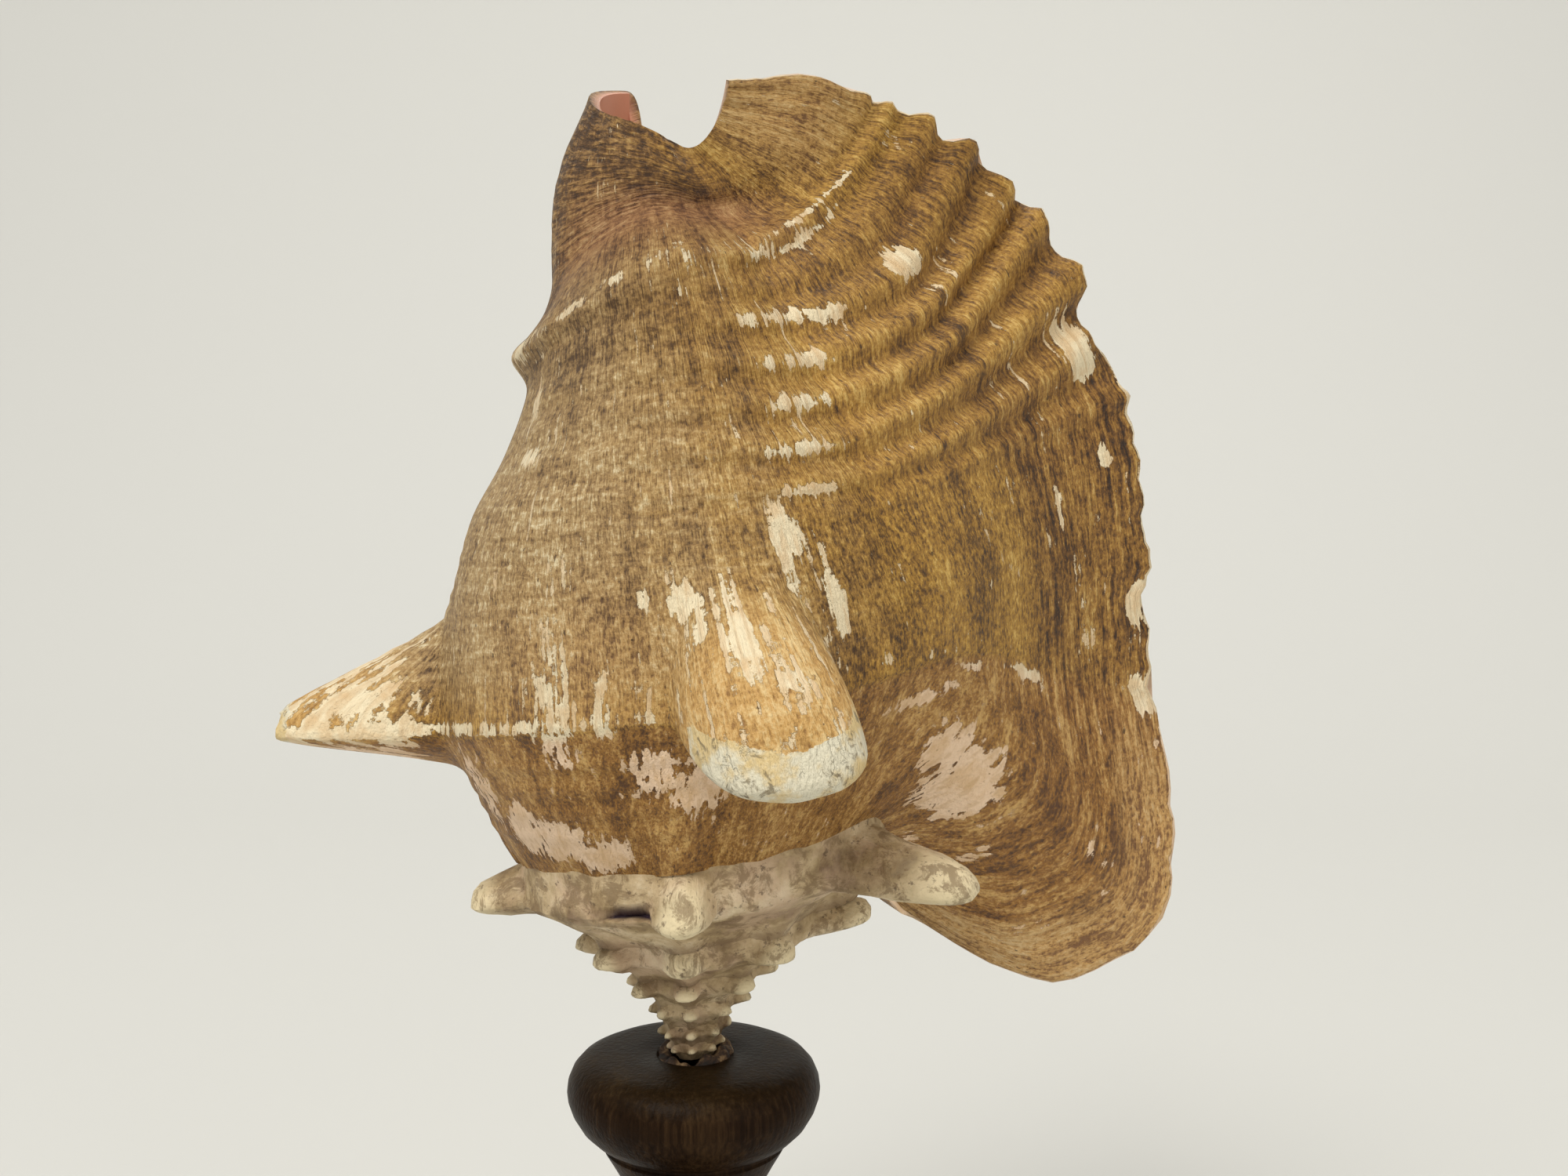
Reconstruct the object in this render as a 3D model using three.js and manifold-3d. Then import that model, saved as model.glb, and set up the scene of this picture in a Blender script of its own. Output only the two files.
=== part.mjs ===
// A queen conch shell standing spire down in the socket of a turned wooden stand.
// Millimetres, +Z up. The origin is the centre of the stand's foot, on the surface that it stands on.
// Seen along +Y the shell shows its back: the flared lip is to the right (+X), the mouth faces away (+Y).

import * as THREE from "three";
import { mergeVertices } from "three/addons/utils/BufferGeometryUtils.js";
import Module from "manifold-3d";

const wasm = await Module();
wasm.setup();

// Driving dimensions
const STAND_HEIGHT = 150;
const FOOT_RADIUS = 66;
const KNOB_RADIUS = 31.3;
const SOCKET_RADIUS = 9;
const SOCKET_DEPTH = 6.6;
const APEX_DEPTH = 6;
const GAP = 0.3;

const deg = THREE.MathUtils.degToRad;
const { clamp, lerp, smoothstep } = THREE.MathUtils;

// The spiral. Angles grow with the shell, anticlockwise seen from above, and 360 degrees is the lip's side.
// Each list runs inwards by one whorl from the left of the body whorl, at 180 degrees, towards the apex.
const BODY_ANGLE = 180;
const TURN = 360;
const KEEL_RADII = [58, 42, 23, 14, 9, 6, 4, 2.5];
const KEEL_HEIGHTS = [86.5, 45, 33, 24, 17, 11.5, 7.5, 4];
const LAST_RADIUS_GROWTH = 1.45;
const LAST_HEIGHT_GROWTH = 1.8;
const APEX_ANGLE = BODY_ANGLE - TURN * (KEEL_RADII.length - 1);
const TIP_RADIUS = 3.4;
const TIP_HEIGHT = 8;

// The wall's outline above the keel: share of the way up, and radius as a share of the keel's.
const COLUMELLA_OUTLINE = [[0, 1], [0.15, 0.97], [0.3, 0.87], [0.45, 0.69], [0.6, 0.5], [0.8, 0.32], [1, 0.18]];
const LEFT_OUTLINE = [
  [0, 1], [0.2, 0.97], [0.33, 0.885], [0.43, 0.74], [0.54, 0.62], [0.66, 0.55], [0.8, 0.475], [0.9, 0.385], [1, 0.24],
];
const FRONT_OUTLINE = [
  [0, 1], [0.18, 1], [0.31, 0.96], [0.42, 0.9], [0.53, 0.81], [0.65, 0.71], [0.8, 0.56], [0.9, 0.44], [1, 0.33],
];
// The height of the canal's rim by angle, with the notch at its end.
const RIM_HEIGHTS = [
  [-270, 196], [0, 206], [60, 214], [90, 219], [100, 227], [112, 238], [125, 240], [180, 237.5], [229, 232],
  [266, 227.5], [292, 223],
];
const CANAL_LEAN = 9;

// Where a row ends on the lip's edge, as [row, x, y, z]. Rows 0 to 1 are the ramp below the keel, 1 to 2 the wall above it.
const LIP_EDGE = [
  [0, 44, 4, 50], [0.12, 54, 18, 36], [0.27, 69, 27, 23.5], [0.42, 90.7, 32, 12.2], [0.56, 113, 34, 17],
  [0.66, 124.5, 34, 28], [0.75, 127, 35, 45], [0.87, 125.3, 35, 66], [1, 120, 35, 97], [1.2, 118, 35, 136],
  [1.37, 111.5, 34, 170], [1.464, 101, 30, 197], [1.511, 92, 27, 209], [1.558, 83, 25, 220],
  [1.605, 68.5, 15, 231.5], [1.68, 48.5, 5, 237.3], [1.8, 31, -8, 240.8], [2, 10, -18, 237.8],
];
const FLARE_ANGLES = [[0, 318], [1, 322], [1.3, 312], [1.6, 302], [1.85, 296], [2, 292]];
const FLARE_DIRECTIONS = [
  [0, [0.5, 0.5, -0.7]], [0.4, [0.55, 0.35, -0.75]], [0.7, [0.8, 0.3, -0.5]], [1, [0.94, 0.34, 0]],
  [1.4, [0.9, 0.3, 0.3]], [1.6, [0.6, 0.25, 0.75]], [1.8, [0.25, 0, 0.97]], [2, [0.1, -0.1, 0.99]],
];

// The folds that fan out to the lip.
const FOLD_FIRST_ROW = 1.37;
const FOLD_STEP = 0.047;
const FOLD_HEIGHT_ON_BODY = 1.2;
const FOLD_HEIGHT_AT_LIP = 2.8;

const WALL = 4.6;
const WALL_AT_RIM = 2.6;
const RAMP_SHARE = 0.2;

// Spines on the keel: angle, length, half width, reach up and down the wall, droop of the tip and bluntness.
const MOUTH_SPINES = [
  { at: 287, length: 35, width: 19, up: 27, down: 11, droop: 12, blunt: 2.6 },
  { at: 183, length: 43, width: 18, up: 28, down: 8, droop: 0.5, blunt: 1.1 },
  { at: 100, length: 22, width: 15, up: 20, down: 10, droop: 4, blunt: 1.6 },
  { at: 26, length: 12, width: 13, up: 15, down: 9, droop: 3, blunt: 1.6 },
  { at: -32, length: 30, width: 12, up: 12, down: 11, droop: 2, blunt: 2.4 },
  { at: -92, length: 11, width: 12, up: 12, down: 10, droop: 2, blunt: 2.2 },
  { at: -176, length: 13, width: 10, up: 12, down: 9, droop: 2, blunt: 2.4 },
  { at: -238, length: 10, width: 8, up: 8, down: 8, droop: 1, blunt: 2.2 },
  { at: -300, length: 9, width: 8, up: 8, down: 8, droop: 1, blunt: 2.2 },
];
const SPINE_TIP = 0.12;
const SPINE_FLARE = 1.35;
const SPIRE_SPINES_START = -362;
const SPIRE_SPINE_STEP = 60;
const SPIRE_SPINE_LENGTH = 0.3;
const SPIRE_SPINE_WIDTH = 0.34;

function spireSpines() {
  const spines = [];
  for (let at = SPIRE_SPINES_START; at > APEX_ANGLE + TURN; at -= SPIRE_SPINE_STEP) {
    const size = keelRadius(at);
    const reach = SPIRE_SPINE_WIDTH * size;
    spines.push({ at, length: SPIRE_SPINE_LENGTH * size, width: reach, up: reach, down: reach, droop: 0, blunt: 2 });
  }
  return spines;
}

// Value of a [key, value] list at a key, by a smooth curve through its points.
function curveAt(list, key) {
  const last = list.length - 1;
  if (key <= list[0][0]) return list[0][1];
  if (key >= list[last][0]) return list[last][1];
  let i = 0;
  while (list[i + 1][0] < key) i += 1;
  const slopeAt = (j) => {
    const a = list[Math.max(0, j - 1)];
    const b = list[Math.min(last, j + 1)];
    return (b[1] - a[1]) / (b[0] - a[0]);
  };
  const span = list[i + 1][0] - list[i][0];
  const t = (key - list[i][0]) / span;
  const t2 = t * t;
  const t3 = t2 * t;
  return (
    (2 * t3 - 3 * t2 + 1) * list[i][1] + (t3 - 2 * t2 + t) * span * slopeAt(i) +
    (3 * t2 - 2 * t3) * list[i + 1][1] + (t3 - t2) * span * slopeAt(i + 1)
  );
}

const column = (list, n) => list.map((row) => [row[0], row[n]]);
const EDGE_X = column(LIP_EDGE, 1);
const EDGE_Y = column(LIP_EDGE, 2);
const EDGE_Z = column(LIP_EDGE, 3);
const FLARES = [0, 1, 2].map((n) => FLARE_DIRECTIONS.map(([row, d]) => [row, d[n]]));

// A size that grows by a steady ratio between the whorls of a list.
function whorlSize(list, lastGrowth, angle) {
  const whorl = (BODY_ANGLE - angle) / TURN;
  if (whorl <= 0) return list[0] * Math.pow(lastGrowth, -whorl);
  const i = Math.min(Math.floor(whorl), list.length - 2);
  return list[i] * Math.pow(list[i + 1] / list[i], whorl - i);
}

const keelRadius = (angle) => whorlSize(KEEL_RADII, LAST_RADIUS_GROWTH, angle);
const keelHeight = (angle) => whorlSize(KEEL_HEIGHTS, LAST_HEIGHT_GROWTH, angle);

const SPINES = [...MOUTH_SPINES, ...spireSpines()];

// How far the nearest spine lifts the wall, and how far its droop lowers it, beside the keel by the given distance.
function spineLift(angle, fromKeel) {
  let lift = 0;
  let drop = 0;
  for (const s of SPINES) {
    const across = (deg(angle - s.at) * keelRadius(s.at)) / s.width;
    if (Math.abs(across) >= 1) continue;
    const along = fromKeel / (fromKeel > 0 ? s.up : s.down);
    const away = clamp((Math.hypot(across, along) - SPINE_TIP) / (1 - SPINE_TIP), 0, 1);
    const rise = Math.pow(1 - Math.pow(away, s.blunt), SPINE_FLARE);
    lift += s.length * rise;
    drop += s.droop * rise;
  }
  return [lift, drop];
}

// Radius and height of the wall just above the keel, where the next whorl is attached.
function sutureOn(angle) {
  const radius = keelRadius(angle);
  const above = RAMP_SHARE * (keelHeight(angle + TURN) - keelHeight(angle));
  const [lift] = spineLift(angle, above);
  return [radius * 0.985 + lift - 0.9, keelHeight(angle) + above];
}

// The height share of a row above the keel: rows crowd towards the rim as they near the front.
function rowHeight(row, angle) {
  const w = row - 1;
  const frontness = smoothstep(angle, 190, 290);
  return w + 0.17 * frontness * (Math.exp(-Math.pow((w - 0.66) / 0.2, 2)) - 0.06 * w);
}

function outlineAt(share, angle) {
  const inner = curveAt(COLUMELLA_OUTLINE, share);
  const left = curveAt(LEFT_OUTLINE, share);
  const front = curveAt(FRONT_OUTLINE, share);
  if (angle < BODY_ANGLE) return lerp(inner, left, smoothstep(angle, -30, BODY_ANGLE));
  return lerp(left, front, smoothstep(angle, BODY_ANGLE, 290));
}

function foldLift(row, strength) {
  const phase = (2 * Math.PI * (row - FOLD_FIRST_ROW)) / FOLD_STEP;
  const window = smoothstep(row, 1.3, 1.39) * (1 - smoothstep(row, 1.6, 1.7));
  return strength * window * Math.cos(phase);
}

// A point of the coiled part of the outer wall.
function whorlPoint(angle, row, spiny) {
  const radius = keelRadius(angle);
  const height = keelHeight(angle);
  const direction = new THREE.Vector2(Math.cos(deg(angle)), Math.sin(deg(angle)));
  let r;
  let z;
  let lean = 0;
  let fromKeel;
  if (row < 1) {
    const [sutureR, sutureZ] = sutureOn(angle - TURN);
    r = lerp(sutureR, radius, row) + 0.02 * radius * Math.sin(Math.PI * row);
    z = lerp(sutureZ, height, row);
    fromKeel = (row - 1) * Math.hypot(radius - sutureR, height - sutureZ);
  } else {
    const share = clamp(rowHeight(row, angle), 0, 1);
    const rim = angle < -TURN * 0.75 ? height * 2.4 : curveAt(RIM_HEIGHTS, angle);
    r = radius * outlineAt(share, angle);
    z = lerp(height, rim, share);
    fromKeel = share * (rim - height);
    lean = angle < -TURN * 0.75 ? 0 : -CANAL_LEAN * Math.pow(clamp((share - 0.25) / 0.75, 0, 1), 2);
    if (spiny) {
      r += foldLift(row, FOLD_HEIGHT_ON_BODY * smoothstep(angle, 200, 290));
      const knob = Math.exp(-Math.pow((row - 1.6) / 0.022, 2)) * smoothstep(angle, 130, 175);
      r += 2.6 * knob * (1 - 0.7 * smoothstep(angle, 185, 250));
    }
  }
  if (spiny) {
    const [lift, drop] = spineLift(angle, fromKeel);
    r += lift;
    z -= drop;
  }
  return new THREE.Vector3(lean + r * direction.x, r * direction.y, z);
}

const flareAngle = (row) => curveAt(FLARE_ANGLES, row);

// A point of the lip, from 0 where it leaves the coil to 1 at its edge.
function lipPoint(t, row, spiny) {
  const angle = flareAngle(row);
  const from = whorlPoint(angle, row, false);
  const step = 2;
  const travel = whorlPoint(angle, row, false).sub(whorlPoint(angle - step, row, false)).normalize();
  const to = new THREE.Vector3(curveAt(EDGE_X, row), curveAt(EDGE_Y, row), curveAt(EDGE_Z, row));
  const flare = new THREE.Vector3(...FLARES.map((list) => curveAt(list, row))).normalize();
  const reach = from.distanceTo(to);
  const t2 = t * t;
  const t3 = t2 * t;
  const point = from.multiplyScalar(2 * t3 - 3 * t2 + 1)
    .addScaledVector(travel, reach * (t3 - 2 * t2 + t))
    .addScaledVector(to, 3 * t2 - 2 * t3)
    .addScaledVector(flare, reach * (t3 - t2));
  if (spiny) {
    const strength = lerp(FOLD_HEIGHT_ON_BODY, FOLD_HEIGHT_AT_LIP, t);
    point.addScaledVector(lipOutward(t, row), foldLift(row, strength));
  }
  return point;
}

function outwardOf(pointAt, a, b, stepA, stepB) {
  const alongA = pointAt(a + stepA, b).sub(pointAt(a - stepA, b));
  const alongB = pointAt(a, b + stepB).sub(pointAt(a, b - stepB));
  return alongA.cross(alongB).normalize();
}

function lipOutward(t, row) {
  const inner = clamp(row, 0.03, 1.97);
  return outwardOf((a, b) => lipPoint(a, b, false), clamp(t, 0.02, 0.98), inner, 0.02, 0.02);
}

function whorlOutward(angle, row) {
  const inner = clamp(row, 0.03, 1.97);
  return outwardOf((a, b) => whorlPoint(a, b, false), angle, inner, 1.5, 0.02);
}

// Grid helpers. A grid is a list of columns, each a list of points.
const between = (from, to, steps) => Array.from({ length: steps + 1 }, (_, i) => lerp(from, to, i / steps));

const FOLD_ROWS = between(FOLD_FIRST_ROW - FOLD_STEP / 2, FOLD_FIRST_ROW + FOLD_STEP * 5.5, 12);
const OUTER_ROWS = [
  0, 0.2, 0.38, 0.52, 0.64, 0.75, 0.85, 0.93, 1, 1.05, 1.11, 1.18, 1.26, ...FOLD_ROWS, 1.68, 1.75, 1.83, 1.92, 2,
];
const INNER_ROWS = [0, 0.2, 0.4, 0.6, 0.8, 1, 1.15, 1.3, 1.42, 1.53, 1.64, 1.76, 1.88, 2];
const CORE_ROWS = [0, 0.35, 0.65, 0.86, 1, 1.08, 1.18, 1.3, 1.42, 1.55, 1.7, 1.85, 2];
const SPIRE_ROWS = [0, 0.45, 0.8, 1, 1.25];

const SPINE_COLUMNS = [-1, -0.7, -0.42, -SPINE_TIP, SPINE_TIP, 0.42, 0.7, 1];

function nearSpine(angle) {
  return SPINES.some((s) => Math.abs(deg(angle - s.at) * keelRadius(s.at)) < s.width * 1.1);
}

// Growth angles from one end to the other, closer together at each spine.
function growthStops(from, to, step, least) {
  const stops = [from, to];
  for (const s of SPINES) {
    const spread = THREE.MathUtils.radToDeg(s.width / keelRadius(s.at));
    for (const k of SPINE_COLUMNS) stops.push(s.at + k * spread);
  }
  for (let angle = from; angle < to; angle += step) if (!nearSpine(angle)) stops.push(angle);
  const sorted = stops.filter((a) => a >= from && a <= to).sort((a, b) => a - b);
  const kept = [from];
  for (const a of sorted) if (a - kept[kept.length - 1] > least && to - a > least) kept.push(a);
  return [...kept, to];
}

function solid(points, faces) {
  return solidFrom(new THREE.BufferGeometry().setFromPoints(points).setIndex(faces.flat()));
}

function solidFrom(geometry) {
  const plain = new THREE.BufferGeometry();
  plain.setAttribute("position", geometry.getAttribute("position"));
  plain.setIndex(geometry.getIndex());
  const merged = mergeVertices(plain, 1e-4);
  const triVerts = new Uint32Array(merged.index.array);
  const mesh = new wasm.Mesh({ numProp: 3, vertProperties: merged.attributes.position.array, triVerts });
  mesh.merge();
  return new wasm.Manifold(mesh);
}

// A closed solid between the grid of the outer wall and the shell's axis.
function filledSolid(grid) {
  const rows = grid[0].length;
  const points = grid.flat();
  const faces = [];
  const at = (i, j) => i * rows + j;
  for (let i = 0; i < grid.length - 1; i += 1)
    for (let j = 0; j < rows - 1; j += 1)
      faces.push([at(i, j), at(i + 1, j), at(i + 1, j + 1)], [at(i, j), at(i + 1, j + 1), at(i, j + 1)]);
  const lowZ = Math.min(...grid.map((c) => c[0].z));
  const highZ = Math.max(...grid.map((c) => c[rows - 1].z));
  const top = grid[0][rows - 1];
  const leanX = top.z > 150 ? -CANAL_LEAN : 0;
  const axis = between(0, 1, rows - 1).map((share) =>
    new THREE.Vector3(leanX * Math.pow(share, 3), 0, lerp(lowZ, highZ, share)));
  const first = points.length;
  points.push(...axis);
  for (const [i, turned] of [[0, false], [grid.length - 1, true]])
    for (let j = 0; j < rows - 1; j += 1) {
      const quad = [[first + j, at(i, j), at(i, j + 1)], [first + j, at(i, j + 1), first + j + 1]];
      faces.push(...(turned ? quad.map((f) => [f[0], f[2], f[1]]) : quad));
    }
  for (let i = 0; i < grid.length - 1; i += 1) {
    faces.push([first, at(i + 1, 0), at(i, 0)]);
    faces.push([first + rows - 1, at(i, rows - 1), at(i + 1, rows - 1)]);
  }
  return solid(points, faces);
}

// Triangles between two lines of points that run side by side, as point numbers.
function ribbon(left, right) {
  const faces = [];
  let i = 0;
  let j = 0;
  while (i < left.length - 1 || j < right.length - 1) {
    const nextLeft = (i + 1) / (left.length - 1);
    const nextRight = (j + 1) / (right.length - 1);
    if (j === right.length - 1 || (i < left.length - 1 && nextLeft <= nextRight)) {
      faces.push([left[i], right[j], left[i + 1]]);
      i += 1;
    } else {
      faces.push([left[i], right[j], right[j + 1]]);
      j += 1;
    }
  }
  return faces;
}

// A closed solid between an outer and an inner grid, which may differ in how fine they are.
function wallSolid(outer, inner) {
  const points = [...outer.flat(), ...inner.flat()];
  const faces = [];
  const addSide = (grid, first, turned) => {
    const rows = grid[0].length;
    const at = (i, j) => first + i * rows + j;
    for (let i = 0; i < grid.length - 1; i += 1)
      for (let j = 0; j < rows - 1; j += 1) {
        const quad = [[at(i, j), at(i + 1, j), at(i + 1, j + 1)], [at(i, j), at(i + 1, j + 1), at(i, j + 1)]];
        faces.push(...(turned ? quad.map((f) => [f[0], f[2], f[1]]) : quad));
      }
    return {
      start: grid[0].map((_, j) => at(0, j)),
      end: grid[0].map((_, j) => at(grid.length - 1, j)),
      low: grid.map((_, i) => at(i, 0)),
      high: grid.map((_, i) => at(i, rows - 1)),
    };
  };
  const out = addSide(outer, 0, false);
  const back = addSide(inner, outer.flat().length, true);
  faces.push(...ribbon(back.low, out.low).map((f) => [f[0], f[2], f[1]]));
  faces.push(...ribbon(back.high, out.high));
  faces.push(...ribbon(back.start, out.start));
  faces.push(...ribbon(back.end, out.end).map((f) => [f[0], f[2], f[1]]));
  return solid(points, faces);
}

function wallThickness(row) {
  return lerp(WALL, WALL_AT_RIM, smoothstep(row, 1.5, 2));
}

// Shell sub-parts
const CORE_START = -290;
const CORE_END = 100;
const CORE_CHUNKS = 2;
const SPIRE_CHUNK = 200;
const OVERLAP = 9;
const SUNK = 0.96;

// Grid columns of a chunk of the coil. The first column lies a little inside the chunk before it.
function chunkColumns(start, end, step, least, rows) {
  const sunk = rows.map((row) => {
    const point = whorlPoint(start - OVERLAP, row, true);
    point.x *= SUNK;
    point.y *= SUNK;
    return point;
  });
  return [sunk, ...growthStops(start, end, step, least).map((angle) => rows.map((row) => whorlPoint(angle, row, true)))];
}

function spireSolid() {
  const tip = new THREE.CylinderGeometry(TIP_RADIUS, 0.6, TIP_HEIGHT, 12).rotateX(Math.PI / 2);
  tip.translate(0, 0, TIP_HEIGHT / 2);
  let joined = solidFrom(tip);
  for (let end = CORE_START; end > APEX_ANGLE + TURN; end -= SPIRE_CHUNK)
    joined = joined.add(filledSolid(chunkColumns(end - SPIRE_CHUNK, end, 30, 9, SPIRE_ROWS)));
  return joined;
}

function coreSolid() {
  const stops = between(CORE_START, CORE_END, CORE_CHUNKS);
  const chunk = (i) => filledSolid(chunkColumns(stops[i], stops[i + 1], 15, 2.5, CORE_ROWS));
  return chunk(0).add(chunk(1));
}

const WALL_START = 92;
const WALL_END = 315;

function bodyWallSolid() {
  const share = (angle) => (angle - WALL_START) / (WALL_END - WALL_START);
  const angleOf = (stop, row) => stop + (flareAngle(row) - WALL_END) * Math.pow(share(stop), 4);
  const sink = (angle) => 1 - smoothstep(angle, WALL_START, CORE_END + 6);
  const outer = growthStops(WALL_START, WALL_END, 12, 2).map((stop) =>
    OUTER_ROWS.map((row) => {
      const angle = angleOf(stop, row);
      return whorlPoint(angle, row, true).addScaledVector(whorlOutward(angle, row), -1.4 * sink(angle));
    }));
  const inner = between(WALL_START, WALL_END, 16).map((stop) =>
    INNER_ROWS.map((row) => {
      const angle = angleOf(stop, row);
      return whorlPoint(angle, row, false).addScaledVector(whorlOutward(angle, row), -wallThickness(row));
    }));
  for (const t of between(0, 1, 9).slice(1)) outer.push(OUTER_ROWS.map((row) => lipPoint(t, row, true)));
  for (const t of between(0, 1, 6).slice(1))
    inner.push(INNER_ROWS.map((row) =>
      lipPoint(t, row, false).addScaledVector(lipOutward(t, row), -wallThickness(row) * lerp(1, 0.7, t))));
  return wallSolid(outer, inner);
}

function meshOf(name, made, colour, roughness) {
  const data = made.getMesh();
  const geometry = new THREE.BufferGeometry()
    .setAttribute("position", new THREE.BufferAttribute(new Float32Array(data.vertProperties), 3))
    .setIndex(new THREE.BufferAttribute(new Uint32Array(data.triVerts), 1));
  const mesh = new THREE.Mesh(geometry, new THREE.MeshStandardMaterial({ color: colour, roughness, metalness: 0 }));
  mesh.name = name;
  return mesh;
}

function shell() {
  const made = spireSolid().add(coreSolid()).add(bodyWallSolid());
  const mesh = meshOf("shell", made, 0x9c7442, 0.75);
  mesh.position.z = STAND_HEIGHT - APEX_DEPTH;
  return mesh;
}

// The stand, turned in one piece: a rounded knob over a cove, a baluster and a foot.
function stand() {
  const top = STAND_HEIGHT;
  const outline = new THREE.Path();
  outline.moveTo(0, 0);
  outline.lineTo(FOOT_RADIUS - 2, 0);
  outline.quadraticCurveTo(FOOT_RADIUS + 1.5, 6, FOOT_RADIUS - 2, 12);
  outline.lineTo(FOOT_RADIUS - 7, 14);
  outline.bezierCurveTo(FOOT_RADIUS - 26, 16, 24, 20, 20, 32);
  outline.lineTo(24, 34);
  outline.quadraticCurveTo(27, 38, 24, 42);
  outline.lineTo(17.5, 44);
  outline.bezierCurveTo(21, 52, 25, 56, 25, 66);
  outline.bezierCurveTo(25, 80, 14.5, 90, 14.5, 104);
  outline.bezierCurveTo(14.5, 110, 16, top - 32, 22.4, top - 22.6);
  outline.lineTo(22.9, top - 22);
  outline.bezierCurveTo(28, top - 19, KNOB_RADIUS, top - 15, KNOB_RADIUS, top - 9.4);
  outline.bezierCurveTo(KNOB_RADIUS, top - 3.5, 28.5, top, 23, top);
  outline.lineTo(SOCKET_RADIUS, top);
  outline.lineTo(SOCKET_RADIUS - 0.8, top - SOCKET_DEPTH);
  outline.lineTo(0, top - SOCKET_DEPTH);
  const turned = new THREE.LatheGeometry(outline.getPoints(3), 36);
  turned.rotateX(Math.PI / 2);
  const mesh = new THREE.Mesh(turned, new THREE.MeshStandardMaterial({ color: 0x2e1e13, roughness: 0.4, metalness: 0 }));
  mesh.name = "stand";
  return mesh;
}

const conchOnStand = new THREE.Group();
conchOnStand.add(shell(), stand());
export default conchOnStand;
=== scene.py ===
"""A queen conch shell standing spire down in a turned wooden stand, dressed for rendering."""

import math
from types import SimpleNamespace

import bmesh
import bpy
import numpy as np
from bpy.props import FloatProperty, FloatVectorProperty, IntProperty, PointerProperty
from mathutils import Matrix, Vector


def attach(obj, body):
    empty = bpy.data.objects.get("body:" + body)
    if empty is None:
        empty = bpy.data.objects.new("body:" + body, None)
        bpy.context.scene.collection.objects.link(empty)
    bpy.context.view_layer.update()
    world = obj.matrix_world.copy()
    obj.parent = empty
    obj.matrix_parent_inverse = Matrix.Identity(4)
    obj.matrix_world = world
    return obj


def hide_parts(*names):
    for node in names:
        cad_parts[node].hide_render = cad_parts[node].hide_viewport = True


bl_info = {
    "name": "Conch shell on a turned stand",
    "version": (1, 0, 0),
    "blender": (4, 5, 0),
    "location": "View3D > Sidebar > Conch",
    "description": "Models a worn conch shell and the dark wooden stand that holds it",
    "category": "Add Mesh",
}

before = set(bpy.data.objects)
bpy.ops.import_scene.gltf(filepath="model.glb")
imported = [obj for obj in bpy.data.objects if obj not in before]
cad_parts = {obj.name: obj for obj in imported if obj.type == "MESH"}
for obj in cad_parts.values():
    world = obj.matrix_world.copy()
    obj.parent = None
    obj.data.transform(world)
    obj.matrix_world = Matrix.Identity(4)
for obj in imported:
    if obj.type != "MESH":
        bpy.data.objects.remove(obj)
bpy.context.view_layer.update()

# The spiral, in millimetres and degrees, with the apex at the origin. It is the solids' own spiral.
STAND_HEIGHT = 150.0
APEX_DEPTH = 6.0
BODY_ANGLE = 180.0
TURN = 360.0
KEEL_RADII = [58, 42, 23, 14, 9.2, 7, 5.8, 4.6]
KEEL_HEIGHTS = [86.5, 45, 33, 24, 17, 11.5, 7.5, 4]
LAST_RADIUS_GROWTH = 1.45
LAST_HEIGHT_GROWTH = 1.8
APEX_ANGLE = BODY_ANGLE - TURN * (len(KEEL_RADII) - 1)

# The wall's outline at three places round the body whorl: share of its height and of the keel's radius.
COLUMELLA_OUTLINE = [(0, 1), (0.15, 0.97), (0.3, 0.87), (0.45, 0.69), (0.6, 0.5), (0.8, 0.32), (1, 0.18)]
LEFT_OUTLINE = [
    (0, 1), (0.2, 0.97), (0.33, 0.885), (0.43, 0.74), (0.54, 0.62), (0.66, 0.55), (0.8, 0.475), (0.9, 0.385),
    (1, 0.24),
]
FRONT_OUTLINE = [
    (0, 1), (0.18, 1), (0.31, 0.96), (0.42, 0.9), (0.53, 0.81), (0.65, 0.71), (0.8, 0.56), (0.9, 0.44),
    (1, 0.33),
]
# Height of the canal's rim at some angles.
RIM_HEIGHTS = [
    (-270, 196), (0, 206), (60, 214), (90, 219), (100, 227), (112, 238), (125, 240), (180, 237.5), (229, 232),
    (266, 227.5), (292, 223),
]
CANAL_LEAN = 9.0
CANAL_FROM = 150.0

# The lip's edge: row and place.
LIP_EDGE = [
    (0, 44, 4, 50), (0.12, 54, 18, 36), (0.27, 69, 27, 23.5), (0.42, 90.7, 32, 12.2), (0.56, 113, 34, 17),
    (0.66, 124.5, 34, 28), (0.75, 127, 35, 45), (0.87, 125.3, 35, 66), (1, 120, 35, 97), (1.2, 118, 35, 136),
    (1.37, 111.5, 34, 170), (1.464, 101, 30, 197), (1.511, 92, 27, 209), (1.558, 83, 25, 220),
    (1.605, 68.5, 15, 231.5), (1.68, 48.5, 5, 237.3), (1.8, 31, -8, 240.8), (2, 10, -18, 237.8),
]
# Where the lip leaves the coil, and the direction in which it reaches its edge, at some rows.
FLARE_ANGLES = [(0, 318), (1, 322), (1.3, 312), (1.6, 302), (1.85, 296), (2, 292)]
FLARE_DIRECTIONS = [
    (0, 0.5, 0.5, -0.7), (0.4, 0.55, 0.35, -0.75), (0.7, 0.8, 0.3, -0.5), (1, 0.94, 0.34, 0),
    (1.4, 0.9, 0.3, 0.3), (1.6, 0.6, 0.25, 0.75), (1.8, 0.25, 0, 0.97), (2, 0.1, -0.1, 0.99),
]
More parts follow.
